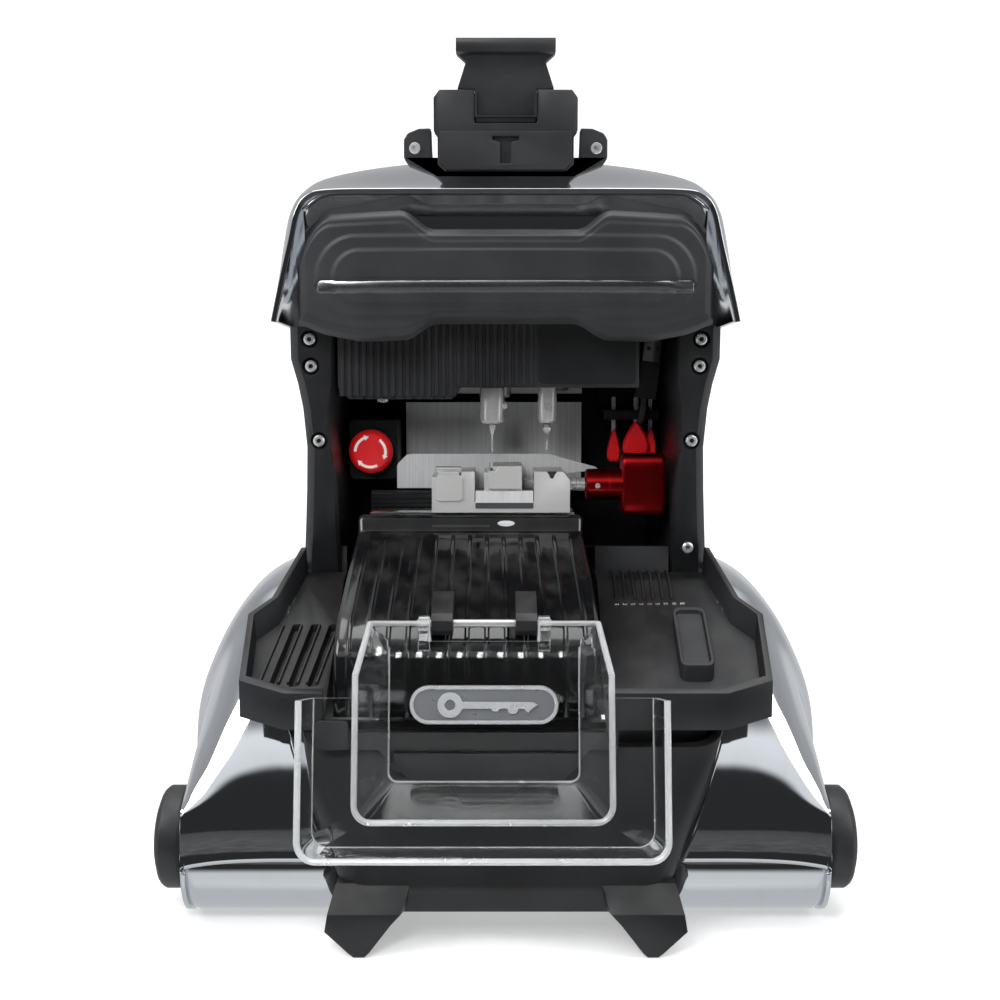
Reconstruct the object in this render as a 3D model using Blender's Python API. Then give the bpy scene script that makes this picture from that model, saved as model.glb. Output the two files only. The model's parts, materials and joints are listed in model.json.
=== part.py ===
"""Key duplicating machine: a bench-top key mill with a tilting clear visor.

Metres, +Z up, the operator stands on the -Y side and looks along +Y.
The origin is on the bench, under the middle of the outer size in X and Y.
All numbers below are millimetres and are scaled once, where a mesh is made.
"""

import math

import bmesh
import bpy
from mathutils import Matrix, Vector

for old in list(bpy.data.objects):
    bpy.data.objects.remove(old, do_unlink=True)

MM = 0.001
GAP = 0.3  # clearance between neighbouring pieces
SHIFT_Y = 25.835  # added to every Y below, so that the origin is under the middle of the outer size

# ---------------------------------------------------------------- driving dimensions
BODY_HALF_W = 116.0  # lower body, half width
BODY_FRONT_Y = -178.0
BODY_BACK_Y = 186.0
BODY_BOTTOM_Z = 18.0
WALL = 3.0

SLOPE = math.tan(math.radians(30.0))  # the tray and the table cover fall towards the operator
TRAY_FLOOR_Y, TRAY_FLOOR_Z = -76.0, 176.0  # a point on the top face of the tray floor
TRAY_RIM = 15.0  # rim height above the floor

POD_Y, POD_Z, POD_R = -131.0, 36.0, 33.0  # roller-shaped ends of the fenders
POD_IN_X, POD_OUT_X = 96.0, 170.0

COLUMN_IN_X = 96.0
BACK_WALL_Y = 62.0

HOOD_LIP_Z, HOOD_TOP_Z = 389.0, 421.0
HOOD_HALF_W = 125.0

TABLE_X = -20.0  # centre of the Y table
TABLE_HALF_W = 66.0
TABLE_TOP_Z = 208.0
SLOT_X0, SLOT_X1 = -92.5, 52.5  # the tray is open here, so that the table cover can run

HINGE_X, HINGE_Y, HINGE_Z = -11.0, -161.0, 166.0  # visor hinge axis
VISOR_TILT = math.radians(12.0)

CLAMP_X0, CLAMP_X1 = -42.0, 37.0
CLAMP_Y0, CLAMP_Y1 = -76.0, -32.0
CLAMP_Z0 = 212.5
SCREW_Y, SCREW_Z = -58.0, 227.0
SCREW_PITCH = 1.5

SPINDLE_X, SPINDLE_Y = -7.5, -56.0
PROBE_X = 24.5
CHUCK_R, CHUCK_Z0, CHUCK_Z1 = 7.2, 263.0, 283.0
CUTTER_TIP_Z = 246.0

HEAD_Y0, HEAD_Y1 = -82.0, 0.0
HEAD_Z0, HEAD_Z1 = 277.0, 344.0

ESTOP_X, ESTOP_Z, ESTOP_Y = -83.5, 244.0, -26.0
ESTOP_R = 13.6

HOLDER_Y = -112.0  # plane of the phone holder's front
HOLDER_Z = 407.0  # its tilt axis


# ---------------------------------------------------------------- materials
def material(name, rgb, roughness, metallic, transmission=0.0):
    mat = bpy.data.materials.new(name)
    mat.use_nodes = True
    shader = mat.node_tree.nodes["Principled BSDF"]
    shader.inputs["Base Color"].default_value = (*rgb, 1.0)
    shader.inputs["Roughness"].default_value = roughness
    shader.inputs["Metallic"].default_value = metallic
    shader.inputs["Transmission Weight"].default_value = transmission
    return mat


SATIN = material("satin_black", (0.018, 0.019, 0.021), 0.45, 0.0)
GLOSS = material("gloss_black", (0.006, 0.006, 0.007), 0.08, 0.0)
CHROME = material("chrome", (0.80, 0.82, 0.85), 0.05, 1.0)
GREY = material("matte_grey", (0.055, 0.057, 0.06), 0.6, 0.0)
STEEL = material("brushed_steel", (0.62, 0.63, 0.64), 0.28, 1.0)
ALLOY = material("blasted_alloy", (0.78, 0.78, 0.77), 0.42, 1.0)
RED_ALLOY = material("red_anodised", (0.55, 0.012, 0.014), 0.32, 0.9)
RED_PLASTIC = material("red_plastic", (0.75, 0.012, 0.014), 0.35, 0.0)
CLEAR = material("clear_acrylic", (0.96, 0.98, 0.98), 0.03, 0.0, 1.0)
RUBBER = material("rubber", (0.02, 0.02, 0.02), 0.85, 0.0)
BRASS = material("brass", (0.70, 0.50, 0.18), 0.3, 1.0)
BOARD = material("circuit_board", (0.02, 0.16, 0.07), 0.5, 0.0)
TRIM = material("silver_trim", (0.85, 0.85, 0.86), 0.15, 1.0)


# ---------------------------------------------------------------- shape helpers
def place(axis, a, b, h):
    """A point from two cross-section coordinates and one along the axis."""
    if axis == "x":
        return (h, a, b)
    if axis == "y":
        return (a, h, b)
    return (a, b, h)


def loft(bm, rings, caps=True, loop=False):
    """Skins equal-length rings of points, one after the other."""
    rows = [[bm.verts.new(p) for p in ring] for ring in rings]
    count = len(rows[0])
    pairs = list(zip(rows, rows[1:])) + ([(rows[-1], rows[0])] if loop else [])
    for low, high in pairs:
        for i in range(count):
            j = (i + 1) % count
            bm.faces.new((low[i], low[j], high[j], high[i]))
    if caps and not loop:
        bm.faces.new(rows[0][::-1])
        bm.faces.new(rows[-1])


def prism(bm, outline, axis, lo, hi):
    loft(bm, [[place(axis, a, b, h) for a, b in outline] for h in (lo, hi)])


def box(bm, x0, x1, y0, y1, z0, z1):
    prism(bm, [(x0, y0), (x1, y0), (x1, y1), (x0, y1)], "z", z0, z1)


def lathe(bm, profile, axis, ca, cb, segments=24, tube=False):
    """Turns (radius, height) points about an axis through (ca, cb)."""
    rows = []
    for radius, height in profile:
        if radius < 1e-6:
            rows.append([bm.verts.new(place(axis, ca, cb, height))])
            continue
        row = []
        for k in range(segments):
            t = 2 * math.pi * k / segments
            a, b = ca + radius * math.cos(t), cb + radius * math.sin(t)
            row.append(bm.verts.new(place(axis, a, b, height)))
        rows.append(row)
    pairs = list(zip(rows, rows[1:])) + ([(rows[-1], rows[0])] if tube else [])
    for low, high in pairs:
        for i in range(segments):
            j = (i + 1) % segments
            if len(low) == 1 and len(high) == 1:
                break
            if len(low) == 1:
                bm.faces.new((low[0], high[j], high[i]))
            elif len(high) == 1:
                bm.faces.new((low[i], low[j], high[0]))
            else:
                bm.faces.new((low[i], low[j], high[j], high[i]))
    if not tube:
        if len(rows[0]) > 1:
            bm.faces.new(rows[0][::-1])
        if len(rows[-1]) > 1:
            bm.faces.new(rows[-1])


def rod(bm, axis, ca, cb, lo, hi, radius, chamfer=0.0, segments=20):
    if chamfer:
        profile = [(radius - chamfer, lo), (radius, lo + chamfer), (radius, hi - chamfer), (radius - chamfer, hi)]
    else:
        profile = [(radius, lo), (radius, hi)]
    lathe(bm, profile, axis, ca, cb, segments)


def ring(bm, axis, ca, cb, lo, hi, r_in, r_out, segments=24):
    lathe(bm, [(r_in, lo), (r_out, lo), (r_out, hi), (r_in, hi)], axis, ca, cb, segments, tube=True)


def rounded(x0, x1, y0, y1, r, n=3):
    """Rounded rectangle, counter-clockwise, n segments to each corner."""
    points = []
    for cx, cy, start in ((x1 - r, y1 - r, 0), (x0 + r, y1 - r, 90), (x0 + r, y0 + r, 180), (x1 - r, y0 + r, 270)):
        for k in range(n + 1):
            t = math.radians(start + 90.0 * k / n)
            points.append((cx + r * math.cos(t), cy + r * math.sin(t)))
    return points


def mirrored(points):
    """An outline's mirror image across X = 0, with its turning sense kept."""
    return [(-x, *rest) for x, *rest in points][::-1]


def lerp_table(table, value):
    """Piecewise-linear look-up in a table of (key, number) pairs."""
    if value <= table[0][0]:
        return table[0][1]
    for (k0, v0), (k1, v1) in zip(table, table[1:]):
        if value <= k1:
            return v0 + (v1 - v0) * (value - k0) / (k1 - k0)
    return table[-1][1]


EMPTIES = {}


def pivot(name, at, parent=None):
    """An empty on a joint axis. Moving pieces are parented to it."""
    empty = bpy.data.objects.new(name, None)
    empty.empty_display_size = 0.02
    bpy.context.scene.collection.objects.link(empty)
    base = EMPTIES[parent][1] if parent else Vector((0, -SHIFT_Y, 0))
    if parent:
        empty.parent = EMPTIES[parent][0]
    empty.location = (Vector(at) - base) * MM
    EMPTIES[name] = (empty, Vector(at))
    return empty


def finish(name, bm, mat, body=None, helper=False):
    """Makes the object: world millimetres in, metres about its pivot out."""
    bmesh.ops.remove_doubles(bm, verts=bm.verts, dist=1e-4)
    bm.normal_update()
    bent = [f for f in bm.faces if len(f.verts) > 3 and max(abs((v.co - f.verts[0].co).dot(f.normal)) for v in f.verts) > 1e-5]
    bmesh.ops.triangulate(bm, faces=bent)
    bmesh.ops.recalc_face_normals(bm, faces=bm.faces)
    origin = EMPTIES[body][1] if body else Vector((0, -SHIFT_Y, 0))
    bmesh.ops.translate(bm, verts=bm.verts, vec=-origin)
    bmesh.ops.scale(bm, verts=bm.verts, vec=(MM, MM, MM))
    mesh = bpy.data.meshes.new(name)
    bm.to_mesh(mesh)
    bm.free()
    mesh.shade_smooth()
    mesh.set_sharp_from_angle(angle=math.radians(32))
    obj = bpy.data.objects.new(name, mesh)
    bpy.context.scene.collection.objects.link(obj)
    if body:
        obj.parent = EMPTIES[body][0]
    if helper:
        obj.hide_render = True
        obj.display_type = "WIRE"
    else:
        mesh.materials.append(mat)
    return obj


def make(name, mat, body, *builders):
    """One object from one closed shape, with any further shapes joined by Boolean unions."""
    obj = None
    for k, build in enumerate(builders):
        bm = bmesh.new()
        build(bm)
        if obj is None:
            obj = finish(name, bm, mat, body)
        else:
            boolean(obj, "UNION", build, body, f"{name}_join{k}", bm)
    return obj


def boolean(obj, operation, build, body=None, label=None, bm=None):
    if bm is None:
        bm = bmesh.new()
        build(bm)
    label = label or f"{obj.name}_cut{len(obj.modifiers)}"
    helper = finish(label, bm, None, body, helper=True)
    modifier = obj.modifiers.new(label, "BOOLEAN")
    modifier.operation = operation
    modifier.solver = "EXACT"
    modifier.object = helper
    return modifier


def cut(obj, build, body=None):
    return boolean(obj, "DIFFERENCE", build, body)


def bevel(obj, width, segments=1, angle=40):
    modifier = obj.modifiers.new("edge", "BEVEL")
    modifier.width = width * MM
    modifier.segments = segments
    modifier.limit_method = "ANGLE"
    modifier.angle_limit = math.radians(angle)
    modifier.use_clamp_overlap = True
    return modifier


# ---------------------------------------------------------------- joint pivots
pivot("pivot_y_table", (TABLE_X, -60, 180))
pivot("pivot_x_carriage", (0, -55, CLAMP_Z0), "pivot_y_table")
pivot("pivot_jaw", (0, SCREW_Y, SCREW_Z), "pivot_x_carriage")
pivot("pivot_knob", (70, SCREW_Y, SCREW_Z), "pivot_jaw")
pivot("pivot_visor", (HINGE_X, HINGE_Y, HINGE_Z), "pivot_y_table")
pivot("pivot_head", (0, -40, 310))
pivot("pivot_spindle", (SPINDLE_X, SPINDLE_Y, CHUCK_Z0), "pivot_head")
pivot("pivot_probe", (PROBE_X, SPINDLE_Y, CHUCK_Z0), "pivot_head")
pivot("pivot_estop", (ESTOP_X, ESTOP_Y, ESTOP_Z))


# ---------------------------------------------------------------- lower body
def tray_z(y, lift=0.0):
    """Height of the tray floor's top face at y: a slope, then level behind it."""
    return TRAY_FLOOR_Z + min(0.0, (y - TRAY_FLOOR_Y)) * SLOPE + lift


# Plan outline of the tray's right half, front to back: it steps out beside the fenders.
TRAY_SIDE = [(62, -176), (112, -176), (136, -168), (139, -124), (128, -112), (119, -80), (119, -60)]


def tray_outline(offset):
    half = []
    for x, y in TRAY_SIDE:
        half.append((x - offset, y + (offset if y < -150 else 0) - (offset if y > -70 else 0)))
    return half + [(-x, y) for x, y in half[::-1]]


APRON_HALF = [(18, 84), (38, 88), (62, 98), (85, 107), (103, 114), (122, 116)]  # the front tapers downwards


def body_outline(z, inset, front):
    """Plan of the lower body at height z: a narrow front that widens behind the rollers."""
    half, side = lerp_table(APRON_HALF, z) - inset, BODY_HALF_W - inset
    right = []
    for k in range(5):
        t = math.radians(-90 + 18 * k)
        right.append((half - 16 + 16 * math.cos(t), front + inset + 16 + 16 * math.sin(t)))
    right += [(half, front + 40), (side, -92), (side, BODY_BACK_Y - 20)]
    for k in range(1, 5):
        t = math.radians(22.5 * k)
        right.append((side - 20 + 20 * math.cos(t), BODY_BACK_Y - inset - 20 + 20 * math.sin(t)))
    return right + [(-x, y) for x, y in right[::-1]]


def lower_body_shell(bm):
    levels = [(18, BODY_FRONT_Y + 3), (30, BODY_FRONT_Y), (55, BODY_FRONT_Y + 0.5), (80, BODY_FRONT_Y + 2), (103, BODY_FRONT_Y + 10)]
    outer, inner = [], []
    for k, (z, front) in enumerate(levels):
        for rows, inset in ((outer, 0.0), (inner, WALL)):
            plan = body_outline(z, inset, front)
            rows.append([(x, y, z if k < 4 else tray_z(max(y, front), -20.0)) for x, y in plan])
    loft(bm, outer + inner[::-1], loop=True)


def front_leg(side):
    """A wedge that reaches down and forward from the apron's lower corner."""
    def build(bm):
        near = [(53, 23), (58, 17.5), (69, 3), (71.5, 0.6), (77, 0.6), (80, 3), (91.5, 14), (90, 23)]
        far = [(49, 34), (51, 21), (58, 16), (70, 4), (72.5, 2.6), (78, 2.6), (90, 15), (87, 34)]
        loft(bm, [[(side * x, y, z) for x, z in ring] for y, ring in ((-190, near), (-177, far), (BODY_FRONT_Y + 24, far))])

    return build


lower_body = make("lower_body", SATIN, None, lower_body_shell, front_leg(-1), front_leg(1))
for side in (-1, 1):  # room for the rollers under the front corners
    cut(lower_body, lambda bm, side=side: rod(bm, "x", POD_Y, POD_Z, *sorted((side * 83.4, side * 130)), POD_R + 0.5, 8, 24))

# The base plate carries the mechanism; it stands clear of the moulding all round.
base_plate = make(
    "base_plate", STEEL, None,
    lambda bm: prism(bm, rounded(-80, 80, -150, 176, 8, 2), "z", 24, 28),
)
for label, fx, fy in (("front_left", -64, -120), ("front_right", 64, -120), ("rear_left", -64, 150), ("rear_right", 64, 150)):
    make("foot_" + label, RUBBER, None, lambda bm, fx=fx, fy=fy: lathe(
        bm, [(9, 0), (11, 1.5), (11, 15), (7, 17), (7, 23.7)], "z", fx, fy, 16))


# ---------------------------------------------------------------- fenders
# Stations along a fender, front to back: y, crown height, lower edge, flare of the skirt.
FENDER = [
    (-163.8, 40, 34, 0), (-163, 52, 27, 0), (-160, 68, 20, 0), (-155, 84, 13.3, 0), (-148, 100, 7.7, 0), (-138, 118, 3.8, 0),
    (-128, 132, 3.2, 0), (-115, 148, 5, 0), (-98, 163, 8, 0), (-90, 168, 9, 0.9), (-78, 174, 11, 1), (-55, 178, 13, 1),
    (-20, 179, 14, 1), (30, 174, 15, 1), (80, 163, 17, 0.9), (115, 148, 20, 0.7), (138, 125, 28, 0.4), (150, 95, 42, 0.1), (154, 72, 58, 0),
]
# Cross-section of the crown: distance out from the body, and fall below the crown height.
CROWN = [(119.8, 0), (129, 2), (138, 6), (146, 12), (153, 20), (159, 29.5), (164, 40), (168.5, 51), (172, 62), (174.5, 75), (176, 92)]
SPREAD = [(-164, 0.892), (-156, 0.90), (-101, 0.90), (-88, 1.03), (0, 1.035), (100, 1.02), (150, 0.98)]  # how far the crown spreads at y


def fender_ring(y, crown, low, flare, inset=0.0):
    """Cross-section at y, inner top to outer bottom; inset gives the inside of the skin."""
    fall = max(0.06, (crown - 60.0) / 118.0)
    wide = lerp_table(SPREAD, y)
    points = [(119.8 + (x - 119.8) * wide - inset * (k / (len(CROWN) - 1)), crown - drop * fall - inset) for k, (x, drop) in enumerate(CROWN)]
    if y < -120 and not inset:
        points[0] = (min(119.8, lerp_table(APRON_HALF, crown) + 1.0), crown)
    bottom = min(points[-1][1] - 0.5, low)
    side, last = points[-1]
    for share, out in ((0.35, 0.12), (0.7, 0.5), (0.96, 0.92), (1.0, 1.0)):
        points.append((side + (188.0 - inset - side) * flare * out, last + (bottom - last) * share))
    return points


def fender(side):
    name = "fender_left" if side < 0 else "fender_right"

    def skin(bm):
        rows = []
        for y, crown, low, flare in FENDER:
            pts = fender_ring(y, crown, low, flare)
            pts += [(119.8, pts[-1][1]), (119.8, crown - 3.6), (pts[0][0], crown - 2.8)]
            rows.append([(side * x, y, z) for x, z in pts])
        loft(bm, rows)

    def hollow(bm):
        rows = []
        for y, crown, low, flare in FENDER[4:-2]:
            pts = [(114, crown - 4)] + fender_ring(y, crown, low - 10, flare, 3.0)[1:]
            pts = [(x, min(z, crown - 3.5)) for x, z in pts]
            pts.append((114, pts[-1][1]))
            rows.append([(side * x, y, z) for x, z in pts])
        loft(bm, rows)

    obj = make(name, CHROME, None, skin)
    cut(obj, hollow)
    cut(obj, lambda bm: box(bm, *sorted((side * 110, side * 126.5)), -112, -80, 151.5, 190))
    boolean(obj, "UNION", lambda bm: lathe(bm, [
        (0, side * 84), (20, side * 84), (27, side * 86), (31, side * 90), (33 - 0.3, side * 97), (33 - 0.3, side * 122), (0, side * 122)],
        "x", POD_Y, POD_Z, 28))
    return obj


fender_left, fender_right = fender(-1), fender(1)

for side, label in ((-1, "left"), (1, "right")):
    make("end_cap_" + label, GREY, None, lambda bm, side=side: lathe(
        bm, [(0, side * 172.0), (26, side * 172.0), (27.5, side * 173.8), (27.5, side * 183), (25.5, side * 185.5), (0, side * 186)],
        "x", POD_Y + 2, POD_Z + 5, 28))


# ---------------------------------------------------------------- chip tray
def tray_body(bm):
    rim = lambda pts, lift: [(x, y, tray_z(y, lift)) for x, y in pts]  # noqa: E731
    loft(bm, [
        rim(tray_outline(0), -4.0),
        rim(tray_outline(0), TRAY_RIM),
        rim(tray_outline(WALL), TRAY_RIM),
        rim(tray_outline(WALL + 1), 0.0),
    ])


chip_tray = make("chip_tray", SATIN, None, tray_body)
def shelf(bm):
    outline = [(-95, -66), (95, -66), (95, -59), (115, -59), (115, 56), (-115, 56), (-115, -59), (-95, -59)]
    prism(bm, outline, "z", 167.5, 172.4)


# A level shelf runs on behind the two sloping pans. The table cover runs through the open middle,
# and a low lip joins the pans at the front.
boolean(chip_tray, "UNION", shelf)
cut(chip_tray, lambda bm: box(bm, SLOT_X0, SLOT_X1, -190, -20, 60, 240))


def front_lip(bm):
    outline = [(-97, 117), (-97, 104), (-66, 104), (-56, 92), (34, 92), (44, 104), (57, 104), (57, 117)]
    prism(bm, outline, "y", -175.7, -172.4)


boolean(chip_tray, "UNION", front_lip)
cut(chip_tray, lambda bm: box(bm, SLOT_X0 + 0.4, SLOT_X1 - 0.4, -190, -50, 113, 240))
for k in range(3):  # chip slots in the left pan
    def slot(bm, k=k):
        x = -101 - 10 * k
        foot = [(x - 2, -154), (x + 2, -154), (x + 9, -112), (x + 5, -112)]
        prism(bm, foot, "z", 90, 190)

    cut(chip_tray, slot)
for side in (-1, 1):  # room for the columns' feet
    cut(chip_tray, lambda bm, side=side: box(bm, *sorted((side * 95.5, side * 130)), -64.5, -50, 100, 230))

# ---------------------------------------------------------------- columns, walls and rear housing
COLUMN_OUT = [(176, 119), (200, 116), (240, 113), (262, 113), (285, 117), (300, 121), (316, 121)]
COLUMN_FRONT = [(176, -60), (210, -74), (250, -80), (316, -84)]


def column(side):
    name = "column_left" if side < 0 else "column_right"

    def build(bm):
        rows = []
        for z in (173, 188, 205, 225, 250, 272, 286, 300, 318):
            out, front = lerp_table(COLUMN_OUT, z), lerp_table(COLUMN_FRONT, z)
            inner = COLUMN_IN_X + (3 if 225 < z < 286 else 0)
            pts = [(inner, front + 3), (inner + 2, front), (out - 5, front), (out, front + 6), (out, 58), (inner, 58)]
            rows.append([(side * x, y, z) for x, y in pts])
        loft(bm, rows)

    obj = make(name, SATIN, None, build)
    for z in (254, 296, 311):
        x = side * (lerp_table(COLUMN_OUT, z) + COLUMN_IN_X + 2) / 2
        front = lerp_table(COLUMN_FRONT, z)
        cut(obj, lambda bm, x=x, z=z, front=front: rod(bm, "y", x, z, front - 4, front + 5, 5.0, 0, 16))
        boolean(obj, "UNION", lambda bm, x=x, z=z, front=front: rod(bm, "y", x, z, front + 1.2, front + 7, 3.2, 0.8, 12))
    return obj


column_left, column_right = column(-1), column(1)

# The wall behind the work zone, with a window for the head's carriage.
back_wall = make("back_wall", SATIN, None, lambda bm: prism(bm, rounded(-115, 115, 172.5, 352, 4, 2), "y", 58.5, 62))

REAR_PROFILE = [(62.5, 100.0), (182.0, 100.0), (182.0, 300.0), (174.0, 346.0), (150.0, 350.0), (62.5, 350.0)]


def rear_outer(bm):
    rows = []
    for x, shrink in ((-112, 8), (-108, 1), (-102, 0), (102, 0), (108, 1), (112, 8)):
        rows.append([(x, y - (shrink if y > 100 else 0), z) for y, z in REAR_PROFILE])
    loft(bm, rows)


rear_housing = make("rear_housing", SATIN, None, rear_outer)
cut(rear_housing, lambda bm: prism(bm, [(55, 96), (179, 96), (179, 299), (171, 343.5), (149, 347), (55, 347)], "x", -106, 106))
for k in range(7):
    cut(rear_housing, lambda bm, k=k: prism(bm, rounded(-60, 60, 214 + 12 * k, 218 + 12 * k, 1.9, 2), "y", 172, 192))
cut(rear_housing, lambda bm: box(bm, -80, -52, 172, 192, 176, 196))
cut(rear_housing, lambda bm: box(bm, 54, 76, 172, 192, 178, 194))
# The housing drops inside the lower body's rear rim.
cut(rear_housing, lambda bm: box(bm, -140, 140, 50, 200, 80, 156.5))

# ---------------------------------------------------------------- hood
# Half sections of the chromed shell: y, then (x, z) from the crown down to the wing's edge.
HOOD_SECTIONS = [
    (-118, [(0, 389.5), (60, 389.5), (94, 389), (105, 386), (111, 378), (115, 362), (120, 342), (125, 320)]),
    (-100, [(0, 394), (60, 394), (96, 393), (109, 389), (116, 379), (120, 362), (123, 342), (126, 320)]),
    (-45, [(0, 411), (60, 410), (99, 405), (115, 397), (124, 383), (127, 364), (128, 342), (128, 318)]),
    (25, [(0, 421), (62, 420), (100, 413), (117, 402), (127, 386), (130, 364), (130, 342), (129, 316)]),
    (95, [(0, 419), (62, 417), (99, 409), (115, 397), (125, 381), (128, 362), (128, 340), (127, 318)]),
    (145, [(0, 406), (60, 404), (96, 396), (112, 385), (121, 371), (124, 356), (124, 338), (123, 320)]),
    (176, [(0, 382), (58, 380), (94, 374), (109, 366), (117, 356), (121, 346), (121.5, 333), (121, 321)]),
    (187, [(0, 353), (58, 352), (93, 350), (107, 346), (114, 341), (118, 336), (119, 329), (119, 322)]),
]


def arch(y, half, inset_x, inset_z):
    half = [(max(0.0, x - inset_x) if x else 0.0, z - (inset_z if z > half[-1][1] + 1 else 0.0), y) for x, z in half]
    right = [(x, yy, z) for x, z, yy in half]
    left = [(-x, yy, z) for x, z, yy in half[1:]]
    return left[::-1] + right


def hood(bm):
    rings = []
    for y, half in HOOD_SECTIONS:
        outer = arch(y, half, 0, 0)
        inner = arch(y, half, 3.2, 2.6)
        rings.append(outer + inner[::-1])
    loft(bm, rings)


hood_shell = make("hood_shell", CHROME, None, hood)

FRONT_TOP = [(0, 367.5), (40, 367.5), (52, 377.5), (95, 376), (106, 364), (110.5, 345)]
FRONT_BOTTOM = [(0, 318.5), (38, 318.5), (51, 310), (76, 309.2), (110.5, 319)]


def hood_face_y(x):
    return -132.0 + 13.0 * (abs(x) / 112.0) ** 2.4


def hood_front_shape(bm):
    stations = sorted({x for x, _ in FRONT_TOP + FRONT_BOTTOM} | {20, 85})
    stations = [-x for x in stations[::-1] if x] + stations
    rows = []
    for x in stations:
        top, low, face = lerp_table(FRONT_TOP, abs(x)), lerp_table(FRONT_BOTTOM, abs(x)), hood_face_y(x)
        rows.append([(x, -108, low), (x, face + 6, low), (x, face + 1.5, low + 3), (x, face, low + 12),
                     (x, face, top - 14), (x, face + 2, top - 3), (x, face + 6, top), (x, -108, top)])
    loft(bm, rows)


hood_front = make("hood_front", SATIN, None, hood_front_shape)
cut(hood_front, lambda bm: box(bm, -95, 95, -120, -100, 322, 362))
# The trim sits in a shallow groove across the face.
def band(bm, z0, z1, depth, proud):
    rows = []
    for k in range(15):
        x = -99 + 198 * k / 14
        y = hood_face_y(x)
        rows.append([(x, y - proud, z0), (x, y + depth, z0), (x, y + depth, z1), (x, y - proud, z1)])
    loft(bm, rows)


cut(hood_front, lambda bm: band(bm, 335.4, 341.6, 1.6, 3.0))
make("trim_strip", TRIM, None, lambda bm: band(bm, 335.8, 341.2, 1.2, 0.8))


# ---------------------------------------------------------------- phone holder
pivot("pivot_holder_tilt", (0, HOLDER_Y + 8, HOLDER_Z))
pivot("pivot_holder_jaw", (0, HOLDER_Y + 8, HOLDER_Z + 30), "pivot_holder_tilt")


def holder_base_shape(bm):
    outline = [(-33, 390.2), (33, 390.2), (33, 394), (46, 398), (54, 403), (54, 418), (42.3, 418), (42.3, 401), (36, 397.4),
               (-36, 397.4), (-42.3, 401), (-42.3, 418), (-54, 418), (-54, 403), (-46, 398), (-33, 394)]
    prism(bm, outline, "y", HOLDER_Y + 2, HOLDER_Y + 13)


holder_base = make("holder_base", SATIN, None, holder_base_shape)
cut(holder_base, lambda bm: prism(bm, [(-125, 370), (-90, 370), (-90, 396.9), (-125, 388.15)], "x", -60, 60))


def holder_plate_shape(bm):
    outline = [(-32, 399), (32, 399), (36, 402.5), (36, 417.5), (38, 420), (38, 437), (35, 441), (16.5, 441), (16.5, 424),
               (-16.5, 424), (-16.5, 441), (-35, 441), (-38, 437), (-38, 420), (-36, 417.5), (-36, 402.5)]
    prism(bm, outline, "y", HOLDER_Y, HOLDER_Y + 12)


holder_plate = make("holder_plate", SATIN, "pivot_holder_tilt", holder_plate_shape)
boolean(holder_plate, "UNION", lambda bm: box(bm, -20, 20, HOLDER_Y + 10, HOLDER_Y + 14, 404, 441), "pivot_holder_tilt")
boolean(holder_plate, "UNION", lambda bm: prism(bm, [(-31, 399), (31, 399), (34.5, 402.5), (34.5, 418.5), (-34.5, 418.5), (-34.5, 402.5)], "y", HOLDER_Y - 7, HOLDER_Y + 1), "pivot_holder_tilt")
cut(holder_plate, lambda bm: prism(bm, [(-7, 416), (7, 416), (7, 414), (3, 413), (3, 402), (-3, 402), (-3, 413), (-7, 414)], "y", HOLDER_Y - 9, HOLDER_Y - 3), "pivot_holder_tilt")
def holder_jaw_shape(bm):
    outline = [(-15.8, 424.6), (15.8, 424.6), (15.8, 441.5), (25.5, 441.8), (21, 455.5), (26, 460), (26, 464.5), (24.5, 466),
               (-24.5, 466), (-26, 464.5), (-26, 460), (-21, 455.5), (-25.5, 441.8), (-15.8, 441.5)]
    prism(bm, outline, "y", HOLDER_Y + 2, HOLDER_Y + 9.4)


cut(holder_plate, lambda bm: box(bm, -12.3, 12.3, HOLDER_Y + 3, HOLDER_Y + 8.4, 402.6, 430), "pivot_holder_tilt")  # guide for the jaw's tongue
holder_jaw = make("holder_jaw", SATIN, "pivot_holder_jaw", holder_jaw_shape)
boolean(holder_jaw, "UNION", lambda bm: box(bm, -12, 12, HOLDER_Y + 3.3, HOLDER_Y + 8.1, 403, 427), "pivot_holder_jaw")
boolean(holder_jaw, "UNION", lambda bm: prism(bm, [(-26, 459), (26, 459), (26, 466), (-26, 466)], "y", HOLDER_Y - 6, HOLDER_Y + 3), "pivot_holder_jaw")

# ---------------------------------------------------------------- emergency stop, tools, cable, rear fittings
boolean(back_wall, "UNION", lambda bm: prism(bm, rounded(-95.5, -66, 226, 262.5, 3, 2), "y", ESTOP_Y + 8.5, 60))
make("estop_collar", GREY, None, lambda bm: ring(bm, "y", ESTOP_X + 2.4, ESTOP_Z, ESTOP_Y + 3.5, ESTOP_Y + 8.2, 5.4, 11.5, 24))
make("estop_button", RED_PLASTIC, "pivot_estop", lambda bm: lathe(
    bm, [(0, ESTOP_Y - 8), (7, ESTOP_Y - 7.6), (11.5, ESTOP_Y - 6.4), (13.2, ESTOP_Y - 4.4), (13.4, ESTOP_Y - 2.6),
         (12.4, ESTOP_Y - 0.9), (5, ESTOP_Y - 0.9), (5, ESTOP_Y + 4), (0, ESTOP_Y + 4)], "y", ESTOP_X + 2.4, ESTOP_Z, 28))

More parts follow.
